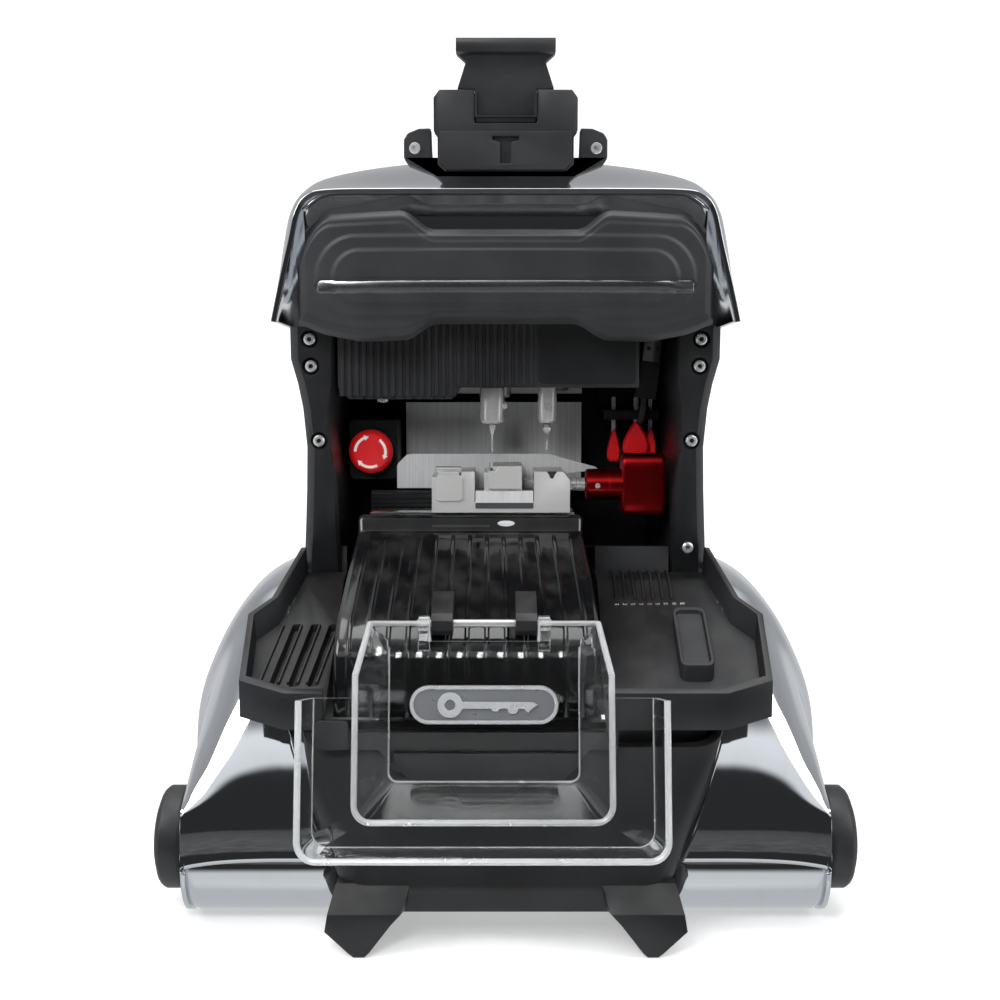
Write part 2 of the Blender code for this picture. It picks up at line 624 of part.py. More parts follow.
make("tool_rack", SATIN, None, lambda bm: prism(bm, [(-6, 262), (58, 262), (58, 290), (50, 290), (46, 268), (-6, 268)], "x", 62, 95.4))
for k, (x, y) in enumerate(((71, 3), (82, -1))):
    def tool(bm, x=x, y=y, k=k):
        half = (4.2, 6.0)[k]
        lathe(bm, [(0, 232), (half * 0.75, 232.6), (half, 236), (half, 246), (half * 0.5, 256), (2.2, 261.6), (2.2, 274), (0, 274)], "z", x, y, 16)
    cut(bpy.data.objects["tool_rack"], lambda bm, x=x, y=y: rod(bm, "z", x, y, 255, 275, 2.6, 0, 16))
    make(f"hex_tool_{k + 1}", RED_PLASTIC, None, tool)

make("usb_cable", SATIN, None, lambda bm: prism(bm, rounded(78.5, 94, -36, -28, 2.5, 2), "z", 276, 298),
     lambda bm: box(bm, 80.5, 92.5, -34.2, -29.8, 297, 309),
     lambda bm: loft(bm, [[(x + 2.2 * math.cos(t), y + 2.2 * math.sin(t), z) for t in [math.pi * 2 * i / 10 for i in range(10)]]
                          for x, y, z in ((87, -32, 278), (87.5, -32, 268), (89, -28, 258), (91, -14, 250), (91, 10, 246), (91, 40, 244), (91, 55, 243.6))]))
pivot("pivot_power", (-66, 181, 186))
make("power_rocker", RED_PLASTIC, "pivot_power", lambda bm: prism(
    bm, [(174, 180), (182.5, 179.6), (185.4, 181), (183.6, 186), (185.4, 191), (182.5, 192.4), (174, 192)], "x", -76.5, -55.5))

# ---------------------------------------------------------------- bed, rails, screws, motors, board
def bed_shape(bm):
    prism(bm, [(-70, 28.3), (30, 28.3), (30, 109.7), (10, 109.7), (10, 40), (-50, 40), (-50, 109.7), (-70, 109.7)], "y", -148, 52)


bed = make("bed_casting", ALLOY, None, bed_shape)
cut(bed, lambda bm: prism(bm, rounded(-120, 30, 50, 92, 8, 2), "x", -80, 40))
for side, x in (("left", -60), ("right", 20)):
    make("y_rail_" + side, STEEL, None, lambda bm, x=x: prism(
        bm, [(x - 6, 110), (x + 6, 110), (x + 6, 113), (x + 4, 114), (x + 6, 115.5), (x + 6, 118), (x - 6, 118), (x - 6, 115.5), (x - 4, 114), (x - 6, 113)],
        "y", -146, 50))
pivot("pivot_y_screw", (TABLE_X, 0, 112))
make("y_leadscrew", STEEL, "pivot_y_screw", lambda bm: rod(bm, "y", TABLE_X, 112, -140, 54.6, 4, 1, 16))
make("y_motor", GREY, None, lambda bm: prism(bm, rounded(TABLE_X - 21, TABLE_X + 21, 91, 133, 4, 1), "y", 55, 92))

pivot("pivot_z_screw", (0, 17, 320))


def z_column_shape(bm):
    prism(bm, [(-50, 30), (50, 30), (50, 58.2), (45, 58.2), (45, 36), (-45, 36), (-45, 58.2), (-50, 58.2)], "z", 277, 372)


z_column = make("z_column", ALLOY, None, z_column_shape)
boolean(z_column, "UNION", lambda bm: box(bm, -24, 24, 0, 34, 368.5, 372.3))
cut(z_column, lambda bm: rod(bm, "z", 0, 17, 360, 380, 6, 0, 16))
for side, x in (("left", -36), ("right", 36)):
    make("z_rail_" + side, STEEL, None, lambda bm, x=x: prism(
        bm, [(x - 5, 29.7), (x - 5, 27), (x - 3.4, 26), (x - 5, 24.6), (x - 5, 22), (x + 5, 22), (x + 5, 24.6), (x + 3.4, 26), (x + 5, 27), (x + 5, 29.7)],
        "z", 279, 368))
make("z_leadscrew", STEEL, "pivot_z_screw", lambda bm: rod(bm, "z", 0, 17, 275, 372.4, 4, 1, 16))
make("z_motor", GREY, None, lambda bm: prism(bm, rounded(-18, 18, -1, 35, 4, 1), "z", 372.7, 404))
make("control_board", BOARD, None, lambda bm: box(bm, -70, 70, 100, 101.8, 170, 290),
     lambda bm: box(bm, -40, -10, 96, 101, 200, 230), lambda bm: box(bm, 20, 50, 97, 101, 240, 262))


# ---------------------------------------------------------------- Y table
T = "pivot_y_table"
saddle = make("y_saddle", ALLOY, T, lambda bm: box(bm, -72, 32, -116, 6, 118.3, 126),
              lambda bm: prism(bm, [(-84, 125), (-22, 125), (-22, 195), (-10, 201), (-66, 201), (-72, 194), (-84, 186)], "x", -52, 12),
              lambda bm: box(bm, -80.5, 40.5, -71, 18, 200, 206),
              lambda bm: box(bm, -30, -10, -56, -30, 104, 119))
cut(saddle, lambda bm: rod(bm, "y", TABLE_X, 112, -70, -10, 4.5, 0, 16), T)

# Stations along the table cover, back to front: skin point (y, z), outward normal (y, z),
# foot of the side walls (y, z) and how far the ribs stand up there.
COVER = [
    ((-68, 211), (0, 1), (-68, 168), 0.0),
    ((-76.5, 211), (-0.55, 0.84), (-75.5, 168), 0.0),
    ((-79.5, 203), (-0.80, 0.60), (-79, 165), 0.0),
    ((-84, 200), (-0.51, 0.86), (-84, 161), 0.0),
    ((-86, 198.9), (-0.49, 0.87), (-86, 160), 1.1),
    ((-144, 166), (-0.53, 0.85), (-141, 129), 1.1),
    ((-153, 160), (-0.62, 0.78), (-149, 124), 1.1),
    ((-159, 153.5), (-0.82, 0.57), (-153, 121), 1.1),
    ((-162.3, 146), (-0.95, 0.31), (-157, 118.5), 1.1),
    ((-165.8, 118), (-0.98, 0.18), (-160, 117), 1.1),
]
RIBS = 13


def cover_half(y):
    return 64.5 + 4.5 * min(1.0, max(0.0, (-80 - y) / 60.0))


def cover_shape(bm):
    rings = []
    for (y, z), (ny, nz), (fy, fz), height in COVER:
        h = cover_half(y)
        ring_points = [(TABLE_X - h, fy, fz), (TABLE_X - h, y - 2.2 * ny, z - 2.2 * nz), (TABLE_X - h + 2.2, y, z)]
        for k in range(RIBS):
            x = TABLE_X + (h - 7) * (2 * k / (RIBS - 1) - 1)
            for dx, up in ((-1.4, 0), (-0.8, height), (0.8, height), (1.4, 0)):
                ring_points.append((x + dx, y + up * ny, z + up * nz))
        ring_points += [(TABLE_X + h - 2.2, y, z), (TABLE_X + h, y - 2.2 * ny, z - 2.2 * nz), (TABLE_X + h, fy, fz)]
        low_y, low_z = y - 3.0 * ny, z - 3.0 * nz
        ring_points += [(TABLE_X + h - 3, max(fy, low_y) if fz > 150 else fy, fz), (TABLE_X + h - 3, low_y, low_z),
                        (TABLE_X - h + 3, low_y, low_z), (TABLE_X - h + 3, max(fy, low_y) if fz > 150 else fy, fz)]
        rings.append(ring_points)
    loft(bm, rings)


y_cover = make("y_cover", GLOSS, T, cover_shape)

for side, x0 in (("left", -38.0), ("right", 5.0)):
    def lug(bm, x0=x0):
        outline = [(-147, 165.5), (-152, 162.4), (-156, 160.3), (-163.5, 160.3), (-167, 163.5), (-167.2, 168.5), (-164, 171.8), (-160, 172.4), (-150, 176), (-138, 178.5), (-136, 172.2)]
        prism(bm, outline, "x", x0, x0 + 11.0)
    obj = make("hinge_lug_" + side, SATIN, T, lug)
    cut(obj, lambda bm, x0=x0: rod(bm, "x", HINGE_Y, HINGE_Z, x0 - 2, x0 + 13, 2.5, 0, 16), T)
make("hinge_pin", STEEL, T, lambda bm: rod(bm, "x", HINGE_Y, HINGE_Z, -45.5, 23.5, 2.1, 0.4, 16))

make("x_rail", STEEL, T, lambda bm: prism(bm, [(-68, 206.3), (-46, 206.3), (-46, 208), (-48, 209), (-46, 210), (-46, 211.6), (-68, 211.6), (-68, 210), (-66, 209), (-68, 208)], "x", -78, 40))
x_drive = make("x_drive_cover", SATIN, T, lambda bm: prism(bm, [(-42.5, 206.3), (-12, 206.3), (-12, 216), (-38, 221.5), (-42.5, 219)], "x", -80, -39))
for k in range(5):
    cut(x_drive, lambda bm, k=k: prism(bm, [(-50, 208 + 2.6 * k), (-41.4, 208 + 2.6 * k), (-41.4, 209.1 + 2.6 * k), (-50, 209.1 + 2.6 * k)], "x", -90, -30), T)


def splash(bm):
    path = [(-30, 206.3, 209), (-20, 206.3, 208.8)]
    outer = [(-30, 206.4), (6, 206.4), (14, 209), (18, 216), (18, 272)]
    inner = [(-30, 208), (5.4, 208), (12.6, 210.2), (16.4, 216.4), (16.4, 272)]
    prism(bm, outer + inner[::-1], "x", -38.5, 38)


backsplash = make("backsplash", STEEL, T, splash)
boolean(backsplash, "UNION", lambda bm: box(bm, -63, 49, 16.4, 18, 223, 272), T)

# ---------------------------------------------------------------- X carriage, jaw, screw, knob
C = "pivot_x_carriage"
Z0 = CLAMP_Z0
clamp_base = make("clamp_base", ALLOY, C, lambda bm: prism(bm, [
    (CLAMP_X0, Z0), (CLAMP_X1, Z0), (CLAMP_X1, 231), (CLAMP_X1 - 4, 236), (16.5, 236), (16.5, 218.6), (-17.5, 218.6), (-17.5, 236),
    (-25, 236), (-25, 233), (CLAMP_X0, 233)], "y", CLAMP_Y0, CLAMP_Y0 + 32))
cut(clamp_base, lambda bm: rod(bm, "x", SCREW_Y, SCREW_Z, 10, 50, 4.3, 0, 16), C)
cut(clamp_base, lambda bm: box(bm, -18, 16, -70, -50, 215.5, 222), C)
cut(clamp_base, lambda bm: box(bm, -17, 16, -80, -74, 216.5, 222), C)


J = "pivot_jaw"
clamp_jaw = make("clamp_jaw", ALLOY, J, lambda bm: prism(bm, [
    (-12, 219), (9.6, 219), (9.6, 239), (-7, 239), (-7, 235.5), (-12, 235.5)], "y", CLAMP_Y0 + 0.6, CLAMP_Y0 + 31),
    lambda bm: box(bm, -8, 6, -68, -52, 216, 220))
cut(clamp_jaw, lambda bm: rod(bm, "x", SCREW_Y, SCREW_Z, 4, 12, 4.3, 0, 16), J)
K = "pivot_knob"
make("clamp_screw", STEEL, K, lambda bm: lathe(bm, [(0, 4.6), (3.9, 4.6)] + [
    (3.9 if k % 2 else 3.3, 36 + 0.9 * k) for k in range(11)] + [(3.9, 45.2), (3.9, 46.6), (2.6, 46.7), (2.6, 60), (0, 60)], "x", SCREW_Y, SCREW_Z, 16))
knob = make("clamp_knob", RED_ALLOY, K, lambda bm: lathe(
    bm, [(2.9, 47), (8, 47), (9, 48), (9, 70), (2.9, 70)], "x", SCREW_Y, SCREW_Z, 24, tube=True),
    lambda bm: loft(bm, [[(x, SCREW_Y + a, SCREW_Z + b) for a, b in rounded(-9 + i, 9 - i, -18 + i, 18 - i, 5, 3)]
                         for x, i in ((68, 1.5), (69.5, 0), (90.5, 0), (92.5, 2))]))
cut(knob, lambda bm: rod(bm, "x", SCREW_Y, SCREW_Z, 40, 61, 2.9, 0, 16), K)

# ---------------------------------------------------------------- visor
V = "pivot_visor"
DOWN = Vector((0, -math.sin(VISOR_TILT), -math.cos(VISOR_TILT)))
OUT = Vector((0, -math.cos(VISOR_TILT), math.sin(VISOR_TILT)))


def visor_point(x, a, b):
    """x from the visor's middle, a along the panel from the hinge, b out towards the operator."""
    return Vector((HINGE_X + x, HINGE_Y, HINGE_Z)) + DOWN * a + OUT * b


def visor_contour(half, bottom, radius, b, top, arc=4):
    """One U-shaped line: down the left side, round the corners and up the right side."""
    left = [(-half, top), (-half, 36.0), (-half, bottom - radius)]
    for k in range(1, arc + 1):
        t = math.radians(90.0 * k / arc)
        left.append((-half + radius * (1 - math.cos(t)), bottom - radius * (1 - math.sin(t))))
    line = left + [(-x, a) for x, a in left[::-1]]
    return [visor_point(x, a, b) for x, a in line]


def visor_sheet(bm):
    lines = [visor_contour(48, 79, 5, 7, 9), visor_contour(62, 95, 8, 33, 0),
             visor_contour(82.5, 107, 8, 34, 36), visor_contour(86, 109.5, 9, 56, 36)]
    rows = []
    for k, line in enumerate(lines):
        rows.append([bm.verts.new(p) if k < 2 or 0 < i < len(line) - 1 else None for i, p in enumerate(line)])
    bm.faces.new(rows[0])
    for a, b in zip(rows, rows[1:]):
        for i in range(len(a) - 1):
            quad = [a[i], a[i + 1], b[i + 1], b[i]]
            if None not in quad:
                bm.faces.new(quad)


def visor_object():
    bm = bmesh.new()
    visor_sheet(bm)
    bmesh.ops.recalc_face_normals(bm, faces=bm.faces)
    bmesh.ops.translate(bm, verts=bm.verts, vec=-EMPTIES[V][1])
    bmesh.ops.scale(bm, verts=bm.verts, vec=(MM, MM, MM))
    bm.faces.ensure_lookup_table()
    if bm.faces[0].normal.dot(OUT) < 0:
        bmesh.ops.reverse_faces(bm, faces=bm.faces)
    mesh = bpy.data.meshes.new("visor")
    bm.to_mesh(mesh)
    bm.free()
    mesh.materials.append(CLEAR)
    obj = bpy.data.objects.new("visor", mesh)
    bpy.context.scene.collection.objects.link(obj)
    obj.parent = EMPTIES[V][0]
    sheet = obj.modifiers.new("sheet", "SOLIDIFY")
    sheet.thickness = 3.0 * MM
    sheet.offset = 0.0
    sheet.use_even_offset = True
    return obj


visor = visor_object()
for x0, x1 in ((-44.5, -38.6), (16.4, 22.5)):
    def knuckle(bm, x0=x0, x1=x1):
        corners = []
        for a, b in ((-3, -4.6), (3, -4.6), (14, 5.8), (14, 8.2), (5, 8.2), (-3, 4.6)):
            p = Vector((0, HINGE_Y, HINGE_Z)) + DOWN * a + OUT * b
            corners.append((p.y, p.z))
        prism(bm, corners, "x", x0, x1)

    boolean(visor, "UNION", knuckle, V)
    cut(visor, lambda bm, x0=x0, x1=x1: rod(bm, "x", HINGE_Y, HINGE_Z, x0 - 2, x1 + 2, 2.5, 0, 16), V)


def badge(bm):
    outline = rounded(-37.5, 37.5, 31, 50.5, 9.7, 4)
    loft(bm, [[visor_point(x, a, b) for x, a in outline] for b in (8.8, 10.3)])


make("visor_badge", GREY, V, badge)

# ---------------------------------------------------------------- milling head
H = "pivot_head"
head_cover = make("head_cover", SATIN, H, lambda bm: prism(bm, [
    (-94, 284), (-88, 277.5), (-30, 277.5), (-26, 284), (75, 284), (75, 344), (-94, 344)], "y", HEAD_Y0, HEAD_Y1))
cut(head_cover, lambda bm: box(bm, -91, 72, HEAD_Y0 + 3, HEAD_Y1 + 5, 287, 341), H)
for k in range(20):
    x = -91 + 5.6 * k
    cut(head_cover, lambda bm, x=x: box(bm, x, x + 1.6, HEAD_Y0 - 1, HEAD_Y0 + 1.2, 270, 350), H)
cut(head_cover, lambda bm: rod(bm, "z", SPINDLE_X, SPINDLE_Y, 270, 300, 8.6, 0, 20), H)
cut(head_cover, lambda bm: rod(bm, "z", PROBE_X, SPINDLE_Y, 270, 300, 7.0, 0, 20), H)
head_plate = make("head_plate", ALLOY, H, lambda bm: box(bm, -46, 46, 0.3, 21.7, 286, 340))
cut(head_plate, lambda bm: rod(bm, "z", 0, 17, 280, 345, 4.5, 0, 16), H)
boolean(head_plate, "UNION", lambda bm: box(bm, -40, 40, -70, 2, 287.3, 291), H)
cut(head_plate, lambda bm: rod(bm, "z", SPINDLE_X, SPINDLE_Y, 280, 300, 8.6, 0, 20), H)
cut(head_plate, lambda bm: rod(bm, "z", PROBE_X, SPINDLE_Y, 280, 300, 6.2, 0, 20), H)
make("spindle_motor", GREY, H, lambda bm: rod(bm, "z", SPINDLE_X, SPINDLE_Y, 296, 338, 17, 2, 24))
make("probe_holder", STEEL, H, lambda bm: lathe(bm, [
    (0, 292.5), (0, 272), (2.3, 272), (2.3, 263), (4.6, 263), (5.6, 265), (5.6, 286.9), (5.6, 292.5)], "z", PROBE_X, SPINDLE_Y, 20))
S = "pivot_spindle"
make("spindle_chuck", STEEL, S, lambda bm: lathe(bm, [
    (0, 295.6), (5, 295.6), (5, 284), (7.2, 283), (7.2, 264.2), (6, 262.6), (2.2, 262.6), (2.2, 270), (0, 270)], "z", SPINDLE_X, SPINDLE_Y, 24))
make("cutter", STEEL, S, lambda bm: lathe(bm, [
    (0, 269.6), (1.9, 269.6), (1.9, 262.2), (2.3, 262.0), (2.3, 260.6), (1.0, 256.5), (0.8, 256), (0.8, 248.5), (0.45, 246), (0, 245.6)], "z", SPINDLE_X, SPINDLE_Y, 12))
make("probe", STEEL, "pivot_probe", lambda bm: lathe(bm, [
    (0, 268), (1.9, 268), (1.9, 260.4), (2.8, 260.2), (2.8, 258.8), (1.1, 255.8), (0.8, 256), (0.8, 249), (0.4, 247), (0, 246.6)], "z", PROBE_X, SPINDLE_Y, 12))
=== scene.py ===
"""Looks of the key duplicating machine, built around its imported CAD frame."""

import json
import math

import bmesh
import bpy
from mathutils import Matrix, Vector


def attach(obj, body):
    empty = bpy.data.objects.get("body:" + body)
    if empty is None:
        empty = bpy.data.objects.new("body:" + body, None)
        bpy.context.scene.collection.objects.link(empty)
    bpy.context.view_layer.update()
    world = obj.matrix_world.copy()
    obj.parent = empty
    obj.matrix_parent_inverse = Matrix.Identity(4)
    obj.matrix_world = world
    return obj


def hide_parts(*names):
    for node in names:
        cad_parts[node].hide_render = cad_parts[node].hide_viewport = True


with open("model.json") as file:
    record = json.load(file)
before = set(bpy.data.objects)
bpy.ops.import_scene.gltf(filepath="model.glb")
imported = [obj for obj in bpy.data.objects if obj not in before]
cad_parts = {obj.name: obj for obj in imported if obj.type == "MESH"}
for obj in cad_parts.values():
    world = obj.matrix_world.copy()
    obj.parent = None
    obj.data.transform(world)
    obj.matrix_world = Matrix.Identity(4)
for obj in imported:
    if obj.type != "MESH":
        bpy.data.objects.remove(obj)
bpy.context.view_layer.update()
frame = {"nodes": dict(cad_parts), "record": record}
NODES = frame["nodes"]
MM = 0.001
# Numbers below are millimetres from the middle of the body; the frame's origin is this far behind it.
SHIFT = Vector((0.0, 25.835, 0.0))


# ---------------------------------------------------------------- materials
class Graph:
    """A small helper for building a node tree."""

    def __init__(self, name):
        self.mat = bpy.data.materials.new(name)
        self.mat.use_nodes = True
        self.tree = self.mat.node_tree
        self.shader = self.tree.nodes["Principled BSDF"]
        self.coord = self.tree.nodes.new("ShaderNodeTexCoord").outputs["Object"]

    def node(self, kind, **values):
        made = self.tree.nodes.new(kind)
        for key, value in values.items():
            setattr(made, key, value)
        return made

    def link(self, a, b):
        self.tree.links.new(a, b)

    def put(self, socket, value):
        if hasattr(value, "is_linked") or hasattr(value, "links"):
            self.link(value, socket)
        else:
            socket.default_value = value

    def mapped(self, scale, rotation=(0, 0, 0)):
        m = self.node("ShaderNodeMapping")
        self.link(self.coord, m.inputs["Vector"])
        m.inputs["Scale"].default_value = scale
        m.inputs["Rotation"].default_value = rotation
        return m.outputs["Vector"]

    def noise(self, scale, detail=4.0, rough=0.55, vector=None, distortion=0.0):
        n = self.node("ShaderNodeTexNoise")
        self.link(vector or self.coord, n.inputs["Vector"])
        n.inputs["Scale"].default_value = scale
        n.inputs["Detail"].default_value = detail
        n.inputs["Roughness"].default_value = rough
        n.inputs["Distortion"].default_value = distortion
        return n.outputs["Fac"]

    def span(self, value, low, high, to_low, to_high):
        m = self.node("ShaderNodeMapRange")
        self.link(value, m.inputs["Value"])
        for key, number in (("From Min", low), ("From Max", high), ("To Min", to_low), ("To Max", to_high)):
            m.inputs[key].default_value = number
        return m.outputs["Result"]

    def math(self, operation, a, b=0.0):
        m = self.node("ShaderNodeMath", operation=operation)
        self.put(m.inputs[0], a)
        self.put(m.inputs[1], b)
        return m.outputs[0]

    def mix(self, factor, a, b):
        m = self.node("ShaderNodeMix", data_type="RGBA")
        self.put(m.inputs[0], factor)
        for socket, value in ((m.inputs[6], a), (m.inputs[7], b)):
            if isinstance(value, tuple):
                socket.default_value = (*value, 1.0)
            else:
                self.link(value, socket)
        return m.outputs[2]

    def bump(self, height, strength, distance=0.0005):
        b = self.node("ShaderNodeBump")
        b.inputs["Strength"].default_value = strength
        b.inputs["Distance"].default_value = distance
        self.link(height, b.inputs["Height"])
        self.link(b.outputs["Normal"], self.shader.inputs["Normal"])
        return b

    def up_dust(self, amount, scale=60.0):
        """Dust that has settled on faces that look up."""
        geometry = self.node("ShaderNodeNewGeometry")
        split = self.node("ShaderNodeSeparateXYZ")
        self.link(geometry.outputs["Normal"], split.inputs[0])
        up = self.span(split.outputs["Z"], 0.35, 1.0, 0.0, 1.0)
        patch = self.span(self.noise(scale, 6.0), 0.42, 0.72, 0.0, 1.0)
        return self.math("MULTIPLY", self.math("MULTIPLY", up, patch), amount)


def moulded(name, rgb, rough, grain, grain_strength, dust=0.25, coat=0.0, metallic=0.0, spread=0.08):
    """Moulded or painted plastic: grain, scuffs that change the gloss, and a little dust on top."""
    g = Graph(name)
    light = tuple(min(1.0, c * 1.3 + 0.003) for c in rgb)
    tone = g.mix(g.span(g.noise(35.0, 5.0), 0.35, 0.7, 0.0, 1.0), rgb, light)
    dust_mask = g.up_dust(dust)
    colour = g.mix(dust_mask, tone, (0.32, 0.31, 0.29))
    g.link(colour, g.shader.inputs["Base Color"])
    scuff = g.span(g.noise(9.0, 8.0, 0.7, g.mapped((1, 1, 6), (0.3, 0.2, 0.5))), 0.3, 0.75, rough - spread * 0.5, rough + spread)
    g.link(g.math("ADD", scuff, g.math("MULTIPLY", dust_mask, 0.5)), g.shader.inputs["Roughness"])
    g.bump(g.noise(grain, 3.0, 0.6), grain_strength, 0.0004)
    g.shader.inputs["Metallic"].default_value = metallic
    g.shader.inputs["Coat Weight"].default_value = coat
    g.shader.inputs["Coat Roughness"].default_value = 0.06
    return g.mat


def metal(name, rgb, rough, streak=None, grain=900.0, strength=0.05, spread=0.05, dark=0.8, anisotropic=0.0, metallic=1.0):
    """Bare or plated metal; streak is the mapping scale of its brush lines."""
    g = Graph(name)
    vector = g.mapped(streak) if streak else g.coord
    lines = g.noise(grain, 5.0, 0.65, vector)
    stain = g.span(g.noise(22.0, 6.0, 0.6), 0.35, 0.7, 0.0, 1.0)
    shade = tuple(c * dark for c in rgb)
    g.link(g.mix(g.math("MULTIPLY", g.span(lines, 0.3, 0.7, 0.0, 1.0), 0.6), rgb, shade), g.shader.inputs["Base Color"])
    base = g.span(lines, 0.3, 0.7, rough - spread * 0.5, rough + spread * 0.5)
    g.link(g.math("ADD", base, g.math("MULTIPLY", stain, spread)), g.shader.inputs["Roughness"])
    g.bump(lines, strength, 0.0003)
    g.shader.inputs["Metallic"].default_value = metallic
    g.shader.inputs["Anisotropic"].default_value = anisotropic
    return g.mat


def chrome():
    g = Graph("chrome_plate")
    haze = g.span(g.noise(14.0, 8.0, 0.65), 0.4, 0.75, 0.0, 1.0)
    smear = g.span(g.noise(70.0, 6.0, 0.7, g.mapped((1, 0.25, 1), (0.2, 0.6, 0.3))), 0.5, 0.8, 0.0, 1.0)
    g.link(g.mix(g.math("MULTIPLY", smear, 0.25), (0.70, 0.725, 0.755), (0.58, 0.60, 0.62)), g.shader.inputs["Base Color"])
    rough = g.math("ADD", g.math("MULTIPLY", haze, 0.045), g.math("MULTIPLY", smear, 0.03))
    g.link(g.math("ADD", rough, 0.035), g.shader.inputs["Roughness"])
    g.bump(g.noise(26.0, 2.0, 0.4), 0.05, 0.002)
    g.shader.inputs["Metallic"].default_value = 1.0
    return g.mat


def acrylic(name, rough, tint=(0.97, 0.985, 0.985)):
    g = Graph(name)
    scratch = g.span(g.noise(240.0, 6.0, 0.7, g.mapped((1, 0.05, 0.4), (0.0, 0.4, 0.7))), 0.58, 0.8, 0.0, 1.0)
    g.link(g.mix(g.math("MULTIPLY", scratch, 0.25), tint, (0.9, 0.92, 0.92)), g.shader.inputs["Base Color"])
    g.link(g.math("ADD", g.math("MULTIPLY", scratch, 0.10), rough), g.shader.inputs["Roughness"])
    g.bump(g.noise(30.0, 2.0), 0.03, 0.001)
    g.shader.inputs["Transmission Weight"].default_value = 1.0
    g.shader.inputs["IOR"].default_value = 1.49
    return g.mat


def frosted(name, rgb, rough, transmission, painted_shine=0.0):
    g = Graph(name)
    cloud = g.span(g.noise(160.0, 5.0), 0.3, 0.7, 0.0, 1.0)
    g.link(g.mix(cloud, rgb, tuple(c * 0.86 for c in rgb)), g.shader.inputs["Base Color"])
    g.link(g.span(cloud, 0.0, 1.0, rough, rough + 0.15), g.shader.inputs["Roughness"])
    g.bump(g.noise(1500.0, 2.0), 0.08, 0.0003)
    g.shader.inputs["Transmission Weight"].default_value = transmission
    g.shader.inputs["IOR"].default_value = 1.49
    # Painted highlight: the emission makes the frosted part shine with no lamp behind it.
    if painted_shine:
        g.shader.inputs["Emission Color"].default_value = (1.0, 1.0, 1.0, 1.0)
        g.shader.inputs["Emission Strength"].default_value = painted_shine
    return g.mat


def board():
    g = Graph("circuit_board")
    tracks = g.node("ShaderNodeTexBrick")
    g.link(g.mapped((160, 160, 160), (math.pi / 2, 0, 0)), tracks.inputs["Vector"])
    tracks.inputs["Color1"].default_value = (0.01, 0.10, 0.04, 1)
    tracks.inputs["Color2"].default_value = (0.015, 0.15, 0.06, 1)
    tracks.inputs["Mortar"].default_value = (0.05, 0.30, 0.12, 1)
    g.link(g.mix(g.span(g.noise(50.0), 0.4, 0.6, 0.0, 0.3), tracks.outputs["Color"], (0.02, 0.08, 0.04)), g.shader.inputs["Base Color"])
    g.link(g.span(g.noise(80.0), 0.3, 0.7, 0.35, 0.55), g.shader.inputs["Roughness"])
    g.bump(tracks.outputs["Fac"], 0.2, 0.0002)
    return g.mat


M = {
    "satin_black": moulded("satin_black", (0.0090, 0.0094, 0.0105), 0.40, 2600.0, 0.14, dust=0.06),
    "soft_black": moulded("soft_black", (0.0150, 0.0155, 0.0170), 0.42, 2200.0, 0.16, dust=0.05),
    "gloss_black": moulded("gloss_black", (0.0040, 0.0042, 0.0048), 0.10, 400.0, 0.02, dust=0.10, coat=0.6, spread=0.06),
    "matte_grey": moulded("matte_grey", (0.040, 0.041, 0.045), 0.55, 1800.0, 0.2),
    "chrome": chrome(),
    "brushed_steel": metal("brushed_steel", (0.60, 0.61, 0.62), 0.30, (60, 60, 1.2), 14.0, 0.10, 0.10, 0.7, 0.5),
    "polished_steel": metal("polished_steel", (0.76, 0.76, 0.77), 0.18, (1.5, 1.5, 60), 10.0, 0.05, 0.06, 0.8, metallic=0.72),
    "blasted_alloy": metal("blasted_alloy", (0.68, 0.68, 0.67), 0.38, None, 2400.0, 0.14, 0.10, 0.86, metallic=0.55),
    "sheet_steel": metal("sheet_steel", (0.80, 0.81, 0.82), 0.30, (60, 60, 1.2), 14.0, 0.12, 0.12, 0.62, 0.4, metallic=0.38),
    "red_anodised": metal("red_anodised", (0.62, 0.016, 0.020), 0.30, (1.5, 30, 30), 24.0, 0.12, 0.12, 0.55, 0.4),
    "red_plastic": moulded("red_plastic", (0.62, 0.010, 0.014), 0.30, 1500.0, 0.05, dust=0.12, coat=0.25),
    "white_ink": moulded("white_ink", (0.72, 0.70, 0.69), 0.40, 1200.0, 0.06, dust=0.0),
    "clear_acrylic": acrylic("clear_acrylic", 0.02),
    "rubber": moulded("rubber", (0.014, 0.014, 0.014), 0.75, 900.0, 0.35),
    "circuit_board": board(),
    "silver_trim": metal("silver_trim", (0.88, 0.88, 0.89), 0.16, (1.0, 40, 40), 18.0, 0.05, 0.08, 0.85),
    # The frosted edges glow a little: a painted highlight on the acrylic's edges, beads, badge rim and key.
    "edge_frost_painted_highlight": frosted("edge_frost_painted_highlight", (0.84, 0.86, 0.87), 0.14, 0.70, 0.03),
    "smoke_badge": frosted("smoke_badge", (0.24, 0.25, 0.27), 0.26, 0.55),
}
M["y_brushed"] = metal("y_brushed", (0.66, 0.67, 0.68), 0.24, (1.4, 60, 60), 16.0, 0.08, 0.10, 0.72, 0.4)

